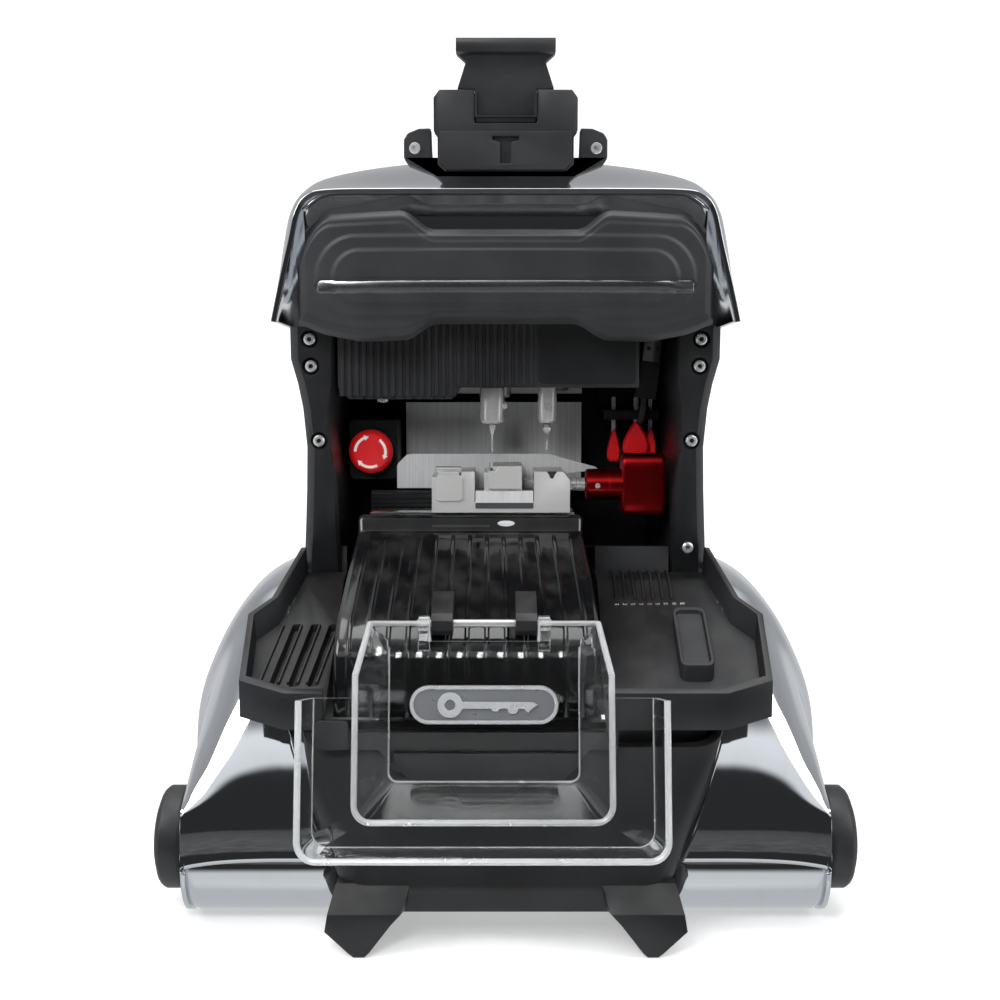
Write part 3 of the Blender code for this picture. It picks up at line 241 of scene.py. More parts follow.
# The record names a slot for each node; a few nodes get a closer finish than their slot's default.
SLOT_OF = {entry["node"]: entry["material_slot"] for entry in frame["record"]["subparts"]}
FINISH = {
    "hood_front": "soft_black", "head_cover": "soft_black", "holder_plate": "soft_black", "holder_jaw": "soft_black",
    "cutter": "polished_steel", "probe": "polished_steel", "spindle_chuck": "polished_steel",
    "probe_holder": "polished_steel", "backsplash": "sheet_steel", "z_leadscrew": "polished_steel",
    "y_leadscrew": "polished_steel", "hinge_pin": "polished_steel", "x_rail": "y_brushed", "clamp_screw": "polished_steel",
    "visor_badge": "smoke_badge", "end_cap_left": "soft_black", "end_cap_right": "soft_black",
}
EDGE = {  # bevel width in mm for each node that keeps its CAD mesh; the others take 0.5
    "lower_body": 1.4, "chip_tray": 0.9, "column_left": 1.4, "column_right": 1.4, "rear_housing": 1.4, "back_wall": 0.8,
    "clamp_knob": 0.9, "head_cover": 0.25, "visor": 0.0, "clamp_screw": 0.0, "cutter": 0.0, "probe": 0.0,
    "usb_cable": 0.5, "estop_button": 0.4, "end_cap_left": 0.8, "end_cap_right": 0.8, "y_cover": 0.3, "trim_strip": 0.3,
    "backsplash": 0.25, "control_board": 0.15, "x_drive_cover": 0.3, "rubber": 0.5, "clamp_base": 0.35, "clamp_jaw": 0.35,
}

for node, obj in NODES.items():
    obj.data.materials.clear()
    obj.data.materials.append(M[FINISH.get(node, SLOT_OF[node])])
    weld = obj.modifiers.new("weld", "WELD")
    weld.merge_threshold = 2e-6
    width = EDGE.get(node, 0.5)
    if width:
        edge = obj.modifiers.new("edge", "BEVEL")
        edge.width = width * MM
        edge.segments = 2
        edge.limit_method = "ANGLE"
        edge.angle_limit = math.radians(34)
        edge.harden_normals = True
        edge.use_clamp_overlap = True
    obj.data.shade_smooth()
    obj.data.set_sharp_from_angle(angle=math.radians(180))


# ---------------------------------------------------------------- shape helpers
def place(axis, a, b, h):
    if axis == "x":
        return (h, a, b)
    if axis == "y":
        return (a, h, b)
    return (a, b, h)


def loft(bm, rings, caps=True, loop=False):
    rows = [[bm.verts.new(p) for p in ring] for ring in rings]
    count = len(rows[0])
    pairs = list(zip(rows, rows[1:])) + ([(rows[-1], rows[0])] if loop else [])
    for low, high in pairs:
        for i in range(count):
            j = (i + 1) % count
            bm.faces.new((low[i], low[j], high[j], high[i]))
    if caps and not loop:
        bm.faces.new(rows[0][::-1])
        bm.faces.new(rows[-1])


def prism(bm, outline, axis, lo, hi):
    loft(bm, [[place(axis, a, b, h) for a, b in outline] for h in (lo, hi)])


def box(bm, x0, x1, y0, y1, z0, z1):
    prism(bm, [(x0, y0), (x1, y0), (x1, y1), (x0, y1)], "z", z0, z1)


def lathe(bm, profile, axis, ca, cb, segments=48, tube=False):
    rows = []
    for radius, height in profile:
        if radius < 1e-6:
            rows.append([bm.verts.new(place(axis, ca, cb, height))])
            continue
        rows.append([bm.verts.new(place(axis, ca + radius * math.cos(2 * math.pi * k / segments),
                                        cb + radius * math.sin(2 * math.pi * k / segments), height)) for k in range(segments)])
    pairs = list(zip(rows, rows[1:])) + ([(rows[-1], rows[0])] if tube else [])
    for low, high in pairs:
        for i in range(segments):
            j = (i + 1) % segments
            if len(low) == 1 and len(high) == 1:
                break
            if len(low) == 1:
                bm.faces.new((low[0], high[j], high[i]))
            elif len(high) == 1:
                bm.faces.new((low[i], low[j], high[0]))
            else:
                bm.faces.new((low[i], low[j], high[j], high[i]))
    if not tube:
        if len(rows[0]) > 1:
            bm.faces.new(rows[0][::-1])
        if len(rows[-1]) > 1:
            bm.faces.new(rows[-1])


def sheet(bm, rows):
    """An open grid of faces through rows of points."""
    made = [[bm.verts.new(p) for p in row] for row in rows]
    for low, high in zip(made, made[1:]):
        for i in range(len(low) - 1):
            bm.faces.new((low[i], low[i + 1], high[i + 1], high[i]))


def rounded(x0, x1, y0, y1, r, n=8):
    points = []
    for cx, cy, start in ((x1 - r, y1 - r, 0), (x0 + r, y1 - r, 90), (x0 + r, y0 + r, 180), (x1 - r, y0 + r, 270)):
        for k in range(n + 1):
            t = math.radians(start + 90.0 * k / n)
            points.append((cx + r * math.cos(t), cy + r * math.sin(t)))
    return points


def curve_through(points, steps):
    """Catmull-Rom points through a list of equal-length tuples."""
    out = []
    last = len(points) - 1
    for i in range(last):
        p0, p1, p2, p3 = points[max(0, i - 1)], points[i], points[i + 1], points[min(last, i + 2)]
        for k in range(steps):
            t = k / steps
            out.append(tuple(
                0.5 * (2 * b + (c - a) * t + (2 * a - 5 * b + 4 * c - d) * t * t + (3 * b - a - 3 * c + d) * t ** 3)
                for a, b, c, d in zip(p0, p1, p2, p3)))
    out.append(tuple(points[-1]))
    return out


def smooth_grid(rows, down, across):
    """Refines a grid of points in both directions."""
    finer = [curve_through(row, across) for row in rows]
    columns = [curve_through([row[i] for row in finer], down) for i in range(len(finer[0]))]
    return [[column[k] for column in columns] for k in range(len(columns[0]))]


def look_up(table, value):
    if value <= table[0][0]:
        return table[0][1]
    for (k0, v0), (k1, v1) in zip(table, table[1:]):
        if value <= k1:
            return v0 + (v1 - v0) * (value - k0) / (k1 - k0)
    return table[-1][1]


def piece(name, material, body, *builders, bevel=0.0, segments=2, angle=32, solid=0.0, rim=None, offset=-1.0, slot=None, subdivide=0, even=True):
    """One visual piece riding on a body: millimetres in, metres out."""
    bm = bmesh.new()
    for build in builders:
        build(bm)
    bmesh.ops.remove_doubles(bm, verts=bm.verts, dist=1e-4)
    bmesh.ops.recalc_face_normals(bm, faces=bm.faces)
    bmesh.ops.translate(bm, verts=bm.verts, vec=SHIFT)
    bmesh.ops.scale(bm, verts=bm.verts, vec=(MM, MM, MM))
    mesh = bpy.data.meshes.new(name)
    bm.to_mesh(mesh)
    bm.free()
    mesh.shade_smooth()
    mesh.materials.append(M[material])
    obj = bpy.data.objects.new(name, mesh)
    bpy.context.scene.collection.objects.link(obj)
    if solid:
        thick = obj.modifiers.new("thickness", "SOLIDIFY")
        thick.thickness = solid * MM
        thick.offset = offset
        thick.use_even_offset = even
        if rim:
            mesh.materials.append(M[rim])
            thick.material_offset_rim = 1
    if bevel:
        edge = obj.modifiers.new("edge", "BEVEL")
        edge.width = bevel * MM
        edge.segments = segments
        edge.limit_method = "ANGLE"
        edge.angle_limit = math.radians(angle)
        edge.harden_normals = True
    else:
        mesh.set_sharp_from_angle(angle=math.radians(35))
    if subdivide:
        fine = obj.modifiers.new("fine", "SUBSURF")
        fine.levels = fine.render_levels = subdivide
    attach(obj, body)
    return obj


# ---------------------------------------------------------------- fenders
FENDER = [
    (-163.8, 40, 34, 0), (-163, 52, 27, 0), (-160, 68, 20, 0), (-155, 84, 13.3, 0), (-148, 100, 7.7, 0), (-138, 118, 3.8, 0),
    (-128, 132, 3.2, 0), (-115, 148, 5, 0), (-98, 163, 8, 0), (-90, 168, 9, 0.9), (-78, 174, 11, 1), (-55, 178, 13, 1),
    (-20, 179, 14, 1), (30, 174, 15, 1), (80, 163, 17, 0.9), (115, 148, 20, 0.7), (138, 125, 28, 0.4), (150, 95, 42, 0.1), (154, 72, 58, 0),
]
APRON_HALF = [(18, 84), (38, 88), (62, 98), (85, 107), (103, 114), (122, 116)]
CROWN = [(119.8, 0), (129, 2), (138, 6), (146, 12), (153, 20), (159, 29.5), (164, 40), (168.5, 51), (172, 62), (174.5, 75), (176, 92)]
SPREAD = [(-164, 0.892), (-156, 0.90), (-101, 0.90), (-88, 1.03), (0, 1.035), (100, 1.02), (150, 0.98)]  # how far the crown spreads at y


def fender_ring(y, crown, low, flare):
    fall = max(0.06, (crown - 60.0) / 118.0)
    wide = look_up(SPREAD, y)
    points = [(119.8 + (x - 119.8) * wide, crown - drop * fall) for x, drop in CROWN]
    inward = min(118.4, look_up(APRON_HALF, crown) + 0.8) if y < -120 else 118.4
    points.insert(0, (inward * 0.5 + 59.9, crown))
    points.insert(0, (inward, crown))
    side, last = points[-1]
    bottom = min(last - 0.5, low)
    for share, out in ((0.35, 0.12), (0.7, 0.5), (0.96, 0.92), (1.0, 1.0)):
        points.append((side + (188.0 - side) * flare * out, last + (bottom - last) * share))
    return points


for side, label in ((-1, "left"), (1, "right")):
    rows = [[(side * x, y, z) for x, z in fender_ring(y, crown, low, flare)] for y, crown, low, flare in FENDER]
    skin = piece("fender_skin_" + label, "chrome", "frame", lambda bm, rows=rows: sheet(bm, smooth_grid(rows, 4, 3)),
                 solid=2.4, even=False, slot="chrome")
    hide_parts("fender_" + label)
    piece("fender_roller_" + label, "chrome", "frame", lambda bm, side=side: lathe(bm, [
        (0, side * 84.2), (12, side * 84.2), (20, side * 84.6), (25, side * 85.6), (28.5, side * 87.4), (31, side * 90), (32.2, side * 93.2),
        (32.7, side * 97), (32.7, side * 163), (32.0, side * 166.5), (30.0, side * 169), (26, side * 170.2), (0, side * 170.2)], "x", -131, 36, 96), slot="chrome")
    piece("cap_dish_" + label, "soft_black", "frame", lambda bm, side=side: lathe(bm, [
        (17, side * 184.6), (17, side * 186.4), (18.0, side * 187), (21, side * 187), (22.2, side * 186.4), (22.2, side * 184.6)],
        "x", -129, 41, 64, tube=True), slot="satin_black")

# ---------------------------------------------------------------- hood
HOOD = [
    (-118, [(0, 389.5), (30, 389.5), (60, 389.5), (94, 389), (105, 386), (111, 378), (115, 362), (120, 342), (125, 320)]),
    (-100, [(0, 394), (30, 394), (60, 394), (96, 393), (109, 389), (116, 379), (120, 362), (123, 342), (126, 320)]),
    (-45, [(0, 411), (30, 410.8), (60, 410), (99, 405), (115, 397), (124, 383), (127, 364), (128, 342), (128, 318)]),
    (25, [(0, 421), (31, 420.8), (62, 420), (100, 413), (117, 402), (127, 386), (130, 364), (130, 342), (129, 316)]),
    (95, [(0, 419), (31, 418.5), (62, 417), (99, 409), (115, 397), (125, 381), (128, 362), (128, 340), (127, 318)]),
    (145, [(0, 406), (30, 405.5), (60, 404), (96, 396), (112, 385), (121, 371), (124, 356), (124, 338), (123, 320)]),
    (176, [(0, 382), (29, 381.5), (58, 380), (94, 374), (109, 366), (117, 356), (121, 346), (121.5, 333), (121, 321)]),
    (187, [(0, 353), (29, 352.8), (58, 352), (93, 350), (107, 346), (114, 341), (118, 336), (119, 329), (119, 322)]),
]
hood_rows = []
for y, half in HOOD:
    row = [(-x, y, z) for x, z in half[::-1]] + [(x, y, z) for x, z in half[1:]]
    hood_rows.append(row)
hood_skin = piece("hood_skin", "chrome", "frame", lambda bm: sheet(bm, smooth_grid(hood_rows, 6, 5)), solid=3.0, bevel=0.7, segments=3, angle=50, slot="chrome")
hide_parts("hood_shell")


def hood_face_y(x):
    return -132.0 + 13.0 * (abs(x) / 112.0) ** 2.4


# Chromed fascia under the lip: it leans back and carries a shallow recess in the middle.
def fascia(bm):
    rows = []
    for k in range(49):
        x = -107 + 214 * k / 48
        edge = max(0.0, abs(x) - 92) / 15.0
        top = 387.6 - 9.0 * edge ** 1.6
        dip = 2.2 * max(0.0, min(1.0, (56 - abs(x)) / 6.0))
        rows.append([(x, -116.6, top), (x, -114.4, top - 0.8), (x, -112.6, top - 5), (x, -111.4 + dip * 0.3, top - 9.5),
                     (x, -111.0 + dip, top - 11.5), (x, -110.8 + dip, 368), (x, -110.8 + dip, 352), (x, -110.2 + dip, 332)])
    sheet(bm, rows)


piece("hood_fascia", "chrome", "frame", fascia, solid=1.6, offset=0.0, slot="chrome")

# Moulded front of the hood: a raised stadium, a step inside it and a ridge that follows the outline.
FRONT_TOP = [(0, 367.5), (40, 367.5), (52, 377.5), (95, 376), (103, 368), (108, 356), (110.5, 345)]
FRONT_BOTTOM = [(0, 318.5), (38, 318.5), (51, 310), (76, 309.2), (96, 313), (110.5, 319)]


def stadium(x, z, half, height, cz):
    """Signed distance to a stadium outline; negative inside."""
    reach = half - height
    dx = max(0.0, abs(x) - reach)
    return math.hypot(dx, z - cz) - height


def step(value, low, high):
    t = min(1.0, max(0.0, (value - low) / (high - low)))
    return t * t * (3 - 2 * t)


def soft_table(table, x, width=3.0):
    return sum(look_up(table, abs(x + width * k / 2)) for k in (-2, -1, 0, 1, 2)) / 5.0


def hood_front_grid(bm):
    columns = []
    across, up = 232, 78
    for i in range(across + 1):
        x = -110.5 + 221.0 * i / across
        top, low, face = soft_table(FRONT_TOP, x), soft_table(FRONT_BOTTOM, x), hood_face_y(x)
        column = [(x, -109, low + 1.0), (x, face + 8, low + 0.2), (x, face + 5, low)]
        for j in range(up + 1):
            z = low + (top - low) * j / up
            edge = min(z - low, top - z, (110.5 - abs(x)) * 1.6)
            y = face + 5.0 * (1 - step(edge, -1.5, 4.0))
            y -= 0.9 * step(-stadium(x, z, 100, 21.5, 343.0), -0.4, 1.0)
            y -= 0.9 * step(-stadium(x, z, 91, 14.5, 342.6), -0.4, 1.0)
            y += 1.6 * step(-stadium(x, z, 99.5, 3.1, 338.5), -0.2, 0.5)
            y -= 0.5 * step(edge, 6.0, 7.0)
            column.append((x, y, z))
        column += [(x, face + 5, top), (x, face + 8, top - 0.2), (x, -109, top - 1.0)]
        columns.append(column)
    sheet(bm, columns)


front = piece("hood_front_moulding", "soft_black", "frame", hood_front_grid, solid=2.0, offset=-1.0, slot="satin_black")
front.data.set_sharp_from_angle(angle=math.radians(180))
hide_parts("hood_front")

# ---------------------------------------------------------------- visor
HINGE = Vector((-11.0, -161.0, 166.0))
TILT = math.radians(12.0)
DOWN = Vector((0, -math.sin(TILT), -math.cos(TILT)))
OUT = Vector((0, -math.cos(TILT), math.sin(TILT)))


def on_visor(x, a, b):
    """x from the visor's middle, a along the panel from the hinge, b out towards the operator."""
    return HINGE + Vector((x, 0, 0)) + DOWN * a + OUT * b


def rim_at(a):
    """Half width and depth of the inner wall's front edge: it grows out from the hinge."""
    t = min(1.0, max(0.0, a / 25.0))
    return 57.5 + 4.5 * t, 8.0 + 25.0 * t


LINE_A = [0, 6, 12, 18, 25, 30, 36]


def visor_line(half, bottom, radius, b, tops, arc=10, widen=0.0):
    """Down the left side, round the corner; then mirrored. tops lists (half, a, b) of the side's upper points."""
    left = list(tops) + [(half, bottom - radius, b)]
    for k in range(1, arc + 1):
        t = math.radians(90.0 * k / arc)
        left.append((half - radius * (1 - math.cos(t)), bottom - radius * (1 - math.sin(t)), b))
    return [on_visor(-x, a, b) for x, a, b in left] + [on_visor(x, a, b) for x, a, b in left[::-1]]


def visor_shell(bm):
    panel = visor_line(48, 79, 5, 7, [(48, 9 + 27 * a / 36.0, 7) for a in LINE_A])
    bend = visor_line(48.9, 79.9, 5.5, 7.9, [(48 + 0.9, 9 + 27 * a / 36.0, 7 + 0.9 * min(1, a / 20)) for a in LINE_A])
    edge = visor_line(62, 95, 8, 33, [(rim_at(a)[0], a, rim_at(a)[1]) for a in LINE_A])
    rows = [[bm.verts.new(p) for p in line] for line in (panel, bend, edge)]
    n = len(rows[0])
    lips = [bm.verts.new(on_visor(x, 9, 7)) for x in (28, -28)]
    bm.faces.new(rows[0] + lips)
    for a, b in zip(rows, rows[1:]):
        for i in range(n - 1):
            bm.faces.new((a[i], a[i + 1], b[i + 1], b[i]))
    # Folded top edge on each side of the hinge gap.
    tops = [bm.verts.new(on_visor(x, 0, 8)) for x in (28, -28)]
    bm.faces.new((rows[0][-1], lips[0], tops[0], rows[2][-1], rows[1][-1]))
    bm.faces.new((rows[0][0], rows[1][0], rows[2][0], tops[1], lips[1]))
    # Flat step and outer wall, from a third of the way down.
    k = len(LINE_A) - 1
    outer = []
    for half, bottom, radius, b in ((82.5, 107, 8, 34), (83.3, 107.8, 8.4, 34.9), (86, 109.5, 9, 56)):
        line = visor_line(half, bottom, radius, b, [(half, 36, b), (half, 37, b)])
        outer.append([bm.verts.new(p) for p in line])
    inner = rows[2][k:n - k]
    lower = outer[0][:1] + outer[0][2:-2] + outer[0][-1:]
    for i in range(len(inner) - 1):
        bm.faces.new((inner[i], inner[i + 1], lower[i + 1], lower[i]))
    m = len(outer[0])
    for a, b in zip(outer, outer[1:]):
        for i in range(m - 1):
            bm.faces.new((a[i], a[i + 1], b[i + 1], b[i]))


def bead(line, radius, closed=False):
    """A thin tube along a line of points: the thick, light-catching bends of the moulding; part of their brightness is
    the painted glow of the frosted material they are given.
    """
    def build(bm):
        rings = []
        for i, p in enumerate(line):
            ahead = (line[min(i + 1, len(line) - 1)] - line[max(i - 1, 0)]).normalized()
            side_a = ahead.cross(OUT).normalized()
            side_b = ahead.cross(side_a).normalized()
            rings.append([p + side_a * radius * math.cos(math.radians(t)) + side_b * radius * math.sin(math.radians(t)) for t in range(0, 360, 45)])
        loft(bm, rings)
    return build


# The visor's cut rim takes the frosted material, whose glow is a painted highlight.
visor = piece("visor_shell", "clear_acrylic", "visor", visor_shell, solid=3.0, offset=0.0, bevel=0.45, segments=2, angle=40, rim="edge_frost_painted_highlight", slot="clear_acrylic")
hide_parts("visor")


lines = {
    "visor_bead_inner": (visor_line(62.3, 95.3, 8.2, 33.6, [(rim_at(a)[0] + 0.2, a, rim_at(a)[1] + 0.6) for a in LINE_A]), 1.5),
    "visor_bead_panel": (visor_line(48.4, 79.4, 5.2, 7.2, [(48.4, 12 + 24 * a / 36.0, 7.2) for a in LINE_A]), 0.8),
    "visor_bead_step": (visor_line(82.7, 107.2, 8.1, 34.2, [(82.7, 36, 34.2), (82.7, 37, 34.2)]), 0.9),
    "visor_bead_outer": (visor_line(86.1, 109.6, 9, 56.6, [(86.1, 36, 56.6), (86.1, 37, 56.6)]), 1.5),
}
for name, (line, radius) in lines.items():
    piece(name, "edge_frost_painted_highlight", "visor", bead(line, radius), slot="clear_acrylic")
piece("visor_bead_top_right", "edge_frost_painted_highlight", "visor", bead([on_visor(57.5, 0, 8.2), on_visor(28, 0, 8.2), on_visor(28, 9, 7.2)], 1.3), slot="clear_acrylic")
piece("visor_bead_top_left", "edge_frost_painted_highlight", "visor", bead([on_visor(-57.5, 0, 8.2), on_visor(-28, 0, 8.2), on_visor(-28, 9, 7.2)], 1.3), slot="clear_acrylic")


def visor_knuckle(x0, x1):
    def build(bm):
        corners = [(-3.2, -3.2), (-1.2, -4.8), (3, -4.6), (14, 5.6), (14, 8.2), (5, 8.4), (-1.5, 6.4), (-4.2, 2.0)]
        points = [HINGE + DOWN * a + OUT * b for a, b in corners]
        prism(bm, [(p.y, p.z) for p in points], "x", x0, x1)
    return build


for k, (x0, x1) in enumerate(((-44.5, -38.6), (16.4, 22.5))):
    piece(f"visor_knuckle_{k + 1}", "clear_acrylic", "visor", visor_knuckle(x0, x1), bevel=0.8, segments=3, slot="clear_acrylic")


def on_badge(outline, b0, b1, inset=0.0):
    def build(bm):
        loft(bm, [[on_visor(x, a, b) for x, a in outline] for b in (b0, b1)])
    return build


badge = piece("badge_plate", "smoke_badge", "visor", on_badge(rounded(-37.5, 37.5, 31, 50.5, 9.7, 10), 8.7, 10.2), bevel=0.5, segments=3, slot="matte_grey")
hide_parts("visor_badge")


def badge_rim(bm):
    outer, inner = rounded(-37.2, 37.2, 31.3, 50.2, 9.4, 10), rounded(-35.4, 35.4, 33.1, 48.4, 7.6, 10)
    loft(bm, [[on_visor(x, a, b) for x, a in ring] for ring, b in ((outer, 10.0), (outer, 11.0), (inner, 11.0), (inner, 10.0))], loop=True)


# The badge rim and key pictogram shine with the frosted material's painted glow.
piece("badge_rim", "edge_frost_painted_highlight", "visor", badge_rim, bevel=0.3, slot="matte_grey")


# A plain key pictogram stands in for the maker's word.
def key_shape(bm):
    ring_out = [(-17 + 6.4 * math.cos(math.radians(t)), 40.8 + 6.4 * math.sin(math.radians(t))) for t in range(0, 360, 15)]
    ring_in = [(-17 + 2.6 * math.cos(math.radians(t)), 40.8 + 2.6 * math.sin(math.radians(t))) for t in range(0, 360, 15)]
    loft(bm, [[on_visor(x, a, b) for x, a in ring] for ring, b in ((ring_out, 10.0), (ring_out, 11.6), (ring_in, 11.6), (ring_in, 10.0))], loop=True)


def key_blade(bm):
    blade = [(-11.3, 39.2), (24, 39.2), (27, 40.6), (24.5, 42.4), (22, 44.6), (20, 42.6), (17.5, 42.6), (16, 45.2), (13, 45.2), (11.5, 42.6),
             (8, 42.6), (7, 44.0), (4.5, 44.0), (3.5, 42.6), (-11.3, 42.6)]
    loft(bm, [[on_visor(x, a, b) for x, a in blade] for b in (10.0, 11.6)])


piece("badge_key_bow", "edge_frost_painted_highlight", "visor", key_shape, bevel=0.25, slot="matte_grey")
piece("badge_key_blade", "edge_frost_painted_highlight", "visor", key_blade, bevel=0.25, slot="matte_grey")

# ---------------------------------------------------------------- table cover
TX = -20.0
COVER = [
    ((-68, 211), (0, 1), (-68, 168), 0.0), ((-76.5, 211), (-0.55, 0.84), (-75.5, 168), 0.0),
    ((-78.2, 208.6), (-0.80, 0.60), (-77.5, 167), 0.0), ((-79.5, 203), (-0.80, 0.60), (-79, 165), 0.0),
    ((-81.5, 201.2), (-0.60, 0.80), (-81.5, 163), 0.0), ((-84, 200), (-0.51, 0.86), (-84, 161), 0.0),
    ((-86, 198.9), (-0.49, 0.87), (-86, 160), 1.1), ((-104, 188.9), (-0.49, 0.87), (-103, 150), 1.1), ((-124, 177.6), (-0.49, 0.87), (-122, 140), 1.1),
    ((-144, 166), (-0.53, 0.85), (-141, 129), 1.1), ((-149, 163), (-0.57, 0.82), (-145.4, 126.3), 1.1),
    ((-153, 160), (-0.62, 0.78), (-149, 124), 1.1), ((-156.4, 156.8), (-0.73, 0.68), (-151, 122.4), 1.1),
    ((-159, 153.5), (-0.82, 0.57), (-153, 121), 1.1), ((-161, 149.8), (-0.89, 0.45), (-155, 119.5), 1.1),
    ((-162.3, 146), (-0.95, 0.31), (-157, 118.5), 1.1), ((-164.2, 132), (-0.98, 0.18), (-158.6, 117.6), 1.1), ((-165.8, 118), (-0.98, 0.18), (-160, 117), 1.1),
]


def cover_half(y):
    return 64.5 + 4.5 * min(1.0, max(0.0, (-80 - y) / 60.0))


def cover_skin(bm):
    rows = []
    for (y, z), (ny, nz), (fy, fz), height in COVER:
        h = cover_half(y)
        line = [(TX - h, fy, fz)]
        for k in range(5):  # the rounded shoulder
            t = math.radians(22.5 * k)
            out, drop = 3.2 * (1 - math.sin(t)), 3.2 * (1 - math.cos(t))
            line.append((TX - h + 3.2 * (1 - math.cos(t)), y - 3.2 * (1 - math.sin(t)) * ny, z - 3.2 * (1 - math.sin(t)) * nz))
        for k in range(13):
            x = TX + (h - 8) * (2 * k / 12 - 1)
            for dx, up in ((-1.5, 0.0), (-1.15, 0.12), (-0.9, 0.75), (-0.5, 1.0), (0.5, 1.0), (0.9, 0.75), (1.15, 0.12), (1.5, 0.0)):
                line.append((x + dx, y + up * height * ny, z + up * height * nz))
        for k in range(4, -1, -1):
            t = math.radians(22.5 * k)
            line.append((TX + h - 3.2 * (1 - math.cos(t)), y - 3.2 * (1 - math.sin(t)) * ny, z - 3.2 * (1 - math.sin(t)) * nz))
        line.append((TX + h, fy, fz))
        rows.append(line)
    sheet(bm, rows)


cover = piece("table_cover", "gloss_black", "y_table", cover_skin, solid=2.4, offset=-1.0, slot="gloss_black")
cover.data.set_sharp_from_angle(angle=math.radians(60))
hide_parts("y_cover")


def on_front_edge(outline, lift):
    """Flat pieces on the cover's steep front edge: x, and a up the edge from its foot."""
    base, up, out = Vector((0, -79.2, 204.0)), Vector((0, 0.37, 0.93)).normalized(), Vector((0, -0.93, 0.37)).normalized()

    def build(bm):
        loft(bm, [[Vector((x, 0, 0)) + base + up * a + out * h for x, a in outline] for h in lift])
    return build


piece("cover_window", "soft_black", "y_table", on_front_edge(rounded(-42, -8.5, 0.2, 5.0, 1.5, 5), (-0.6, 0.35)), bevel=0.2, slot="satin_black")
piece("cover_oval", "silver_trim", "y_table", on_front_edge([(0.5 + 5.0 * math.cos(math.radians(t)), 2.6 + 1.9 * math.sin(math.radians(t))) for t in range(0, 360, 15)], (-0.6, 0.7)), bevel=0.2, slot="silver_trim")
piece("cover_screw", "rubber", "y_table", on_front_edge([(32 + 1.6 * math.cos(math.radians(t)), 2.6 + 1.6 * math.sin(math.radians(t))) for t in range(0, 360, 24)], (-0.6, 0.3)), slot="rubber")

# ---------------------------------------------------------------- phone holder
def both(outline):
    return outline + [(-x, z) for x, z in outline[::-1]]


holder_bar = piece("holder_bar", "soft_black", "frame", lambda bm: prism(bm, both([
    (33, 390.4), (34, 394), (38, 397.6), (45, 400), (51.5, 402.6), (54, 406), (54, 415.5), (52, 419), (46, 421.4), (39.6, 421.6), (38.9, 401), (36, 397.4)]),
    "y", -110, -99.4), bevel=0.9, segments=3, slot="satin_black")
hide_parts("holder_base")
for side, label in ((-1, "left"), (1, "right")):
    piece("holder_screw_" + label, "polished_steel", "frame", lambda bm, side=side: lathe(bm, [
        (0, -110.4), (1.3, -110.4), (1.3, -112.0), (2.6, -112.0), (3.0, -111.5), (3.0, -109.6), (0, -109.6)], "y", side * 48, 411, 32), slot="silver_trim")
piece("holder_groove", "satin_black", "holder_tilt", lambda bm: prism(bm, [(-15, 427.5), (-15, 440.2), (-16.3, 440.8), (-16.3, 426.5), (16.3, 426.5), (16.3, 440.8), (15, 440.2), (15, 427.5)],
      "y", -113.2, -111.8), bevel=0.3, slot="satin_black")

# ---------------------------------------------------------------- columns: bright cap screws in their counterbores
COLUMN_OUT = [(176, 119), (200, 116), (240, 113), (262, 113), (285, 117), (300, 121), (316, 121)]
COLUMN_FRONT = [(176, -60), (210, -74), (250, -80), (316, -84)]
for side, label in ((-1, "left"), (1, "right")):
    for k, z in enumerate((254, 296, 311)):
        x = side * (look_up(COLUMN_OUT, z) + 98) / 2
        f = look_up(COLUMN_FRONT, z)
        piece(f"column_screw_{label}_{k + 1}", "polished_steel", "frame", lambda bm, x=x, z=z, f=f: lathe(bm, [
            (0, f + 1.5), (1.3, f + 1.5), (1.3, f - 0.6), (2.4, f - 0.6), (3.2, f + 0.1), (3.3, f + 1.8), (0, f + 1.8)], "y", x, z, 32), slot="silver_trim")
piece("column_screw_right_4", "polished_steel", "frame", lambda bm: lathe(bm, [
    (0, -66), (1.3, -66), (1.3, -69), (2.4, -69), (3.2, -68.4), (3.3, -64), (0, -64)], "y", 106, 191, 32), slot="silver_trim")

# ---------------------------------------------------------------- emergency stop
EX, EZ, EY = -81.1, 244.0, -26.0


def button(bm):
    lathe(bm, [(0, EY - 7.4), (9.2, EY - 7.4), (10.6, EY - 7.2), (11.3, EY - 6.6), (11.7, EY - 6.0), (12.6, EY - 5.2), (13.2, EY - 4.2), (13.4, EY - 2.8),
               (12.8, EY - 1.4), (12.0, EY - 0.9), (5, EY - 0.9), (5, EY + 4), (0, EY + 4)], "y", EX, EZ, 96)


stop = piece("stop_mushroom", "red_plastic", "estop", button, slot="red_plastic")
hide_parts("estop_button")


def arrow(start, sweep_by):
    """A curved arrow on the button's face, with its head at the end of the sweep."""
    def build(bm):
        for k in range(14):
            t0, t1 = (math.radians(start + sweep_by * i / 14) for i in (k, k + 1))
            quad = [(r * math.cos(t), r * math.sin(t)) for t, r in ((t0, 8.3), (t0, 9.9), (t1, 9.9), (t1, 8.3))]
            loft(bm, [[(EX + a, y, EZ + b) for a, b in quad] for y in (EY - 7.2, EY - 7.65)])
        t, n = math.radians(start + sweep_by), 1 if sweep_by > 0 else -1
        head = [(7.4, t), (10.8, t), (9.1, t + n * math.radians(16))]
        loft(bm, [[(EX + r * math.cos(a), y, EZ + r * math.sin(a)) for r, a in head] for y in (EY - 7.2, EY - 7.65)])
    return build


for k, start in enumerate((178, 52, 296)):
    piece(f"stop_arrow_{k + 1}", "white_ink", "estop", arrow(start, -66), slot="red_plastic")
piece("stop_bezel", "satin_black", "frame", lambda bm: lathe(bm, [
    (11.0, EY + 8.3), (14.6, EY + 8.3), (14.6, EY + 6.6), (13.8, EY + 5.8), (11.8, EY + 5.8), (11.0, EY + 6.6)], "y", EX, EZ, 72, tube=True), slot="matte_grey")

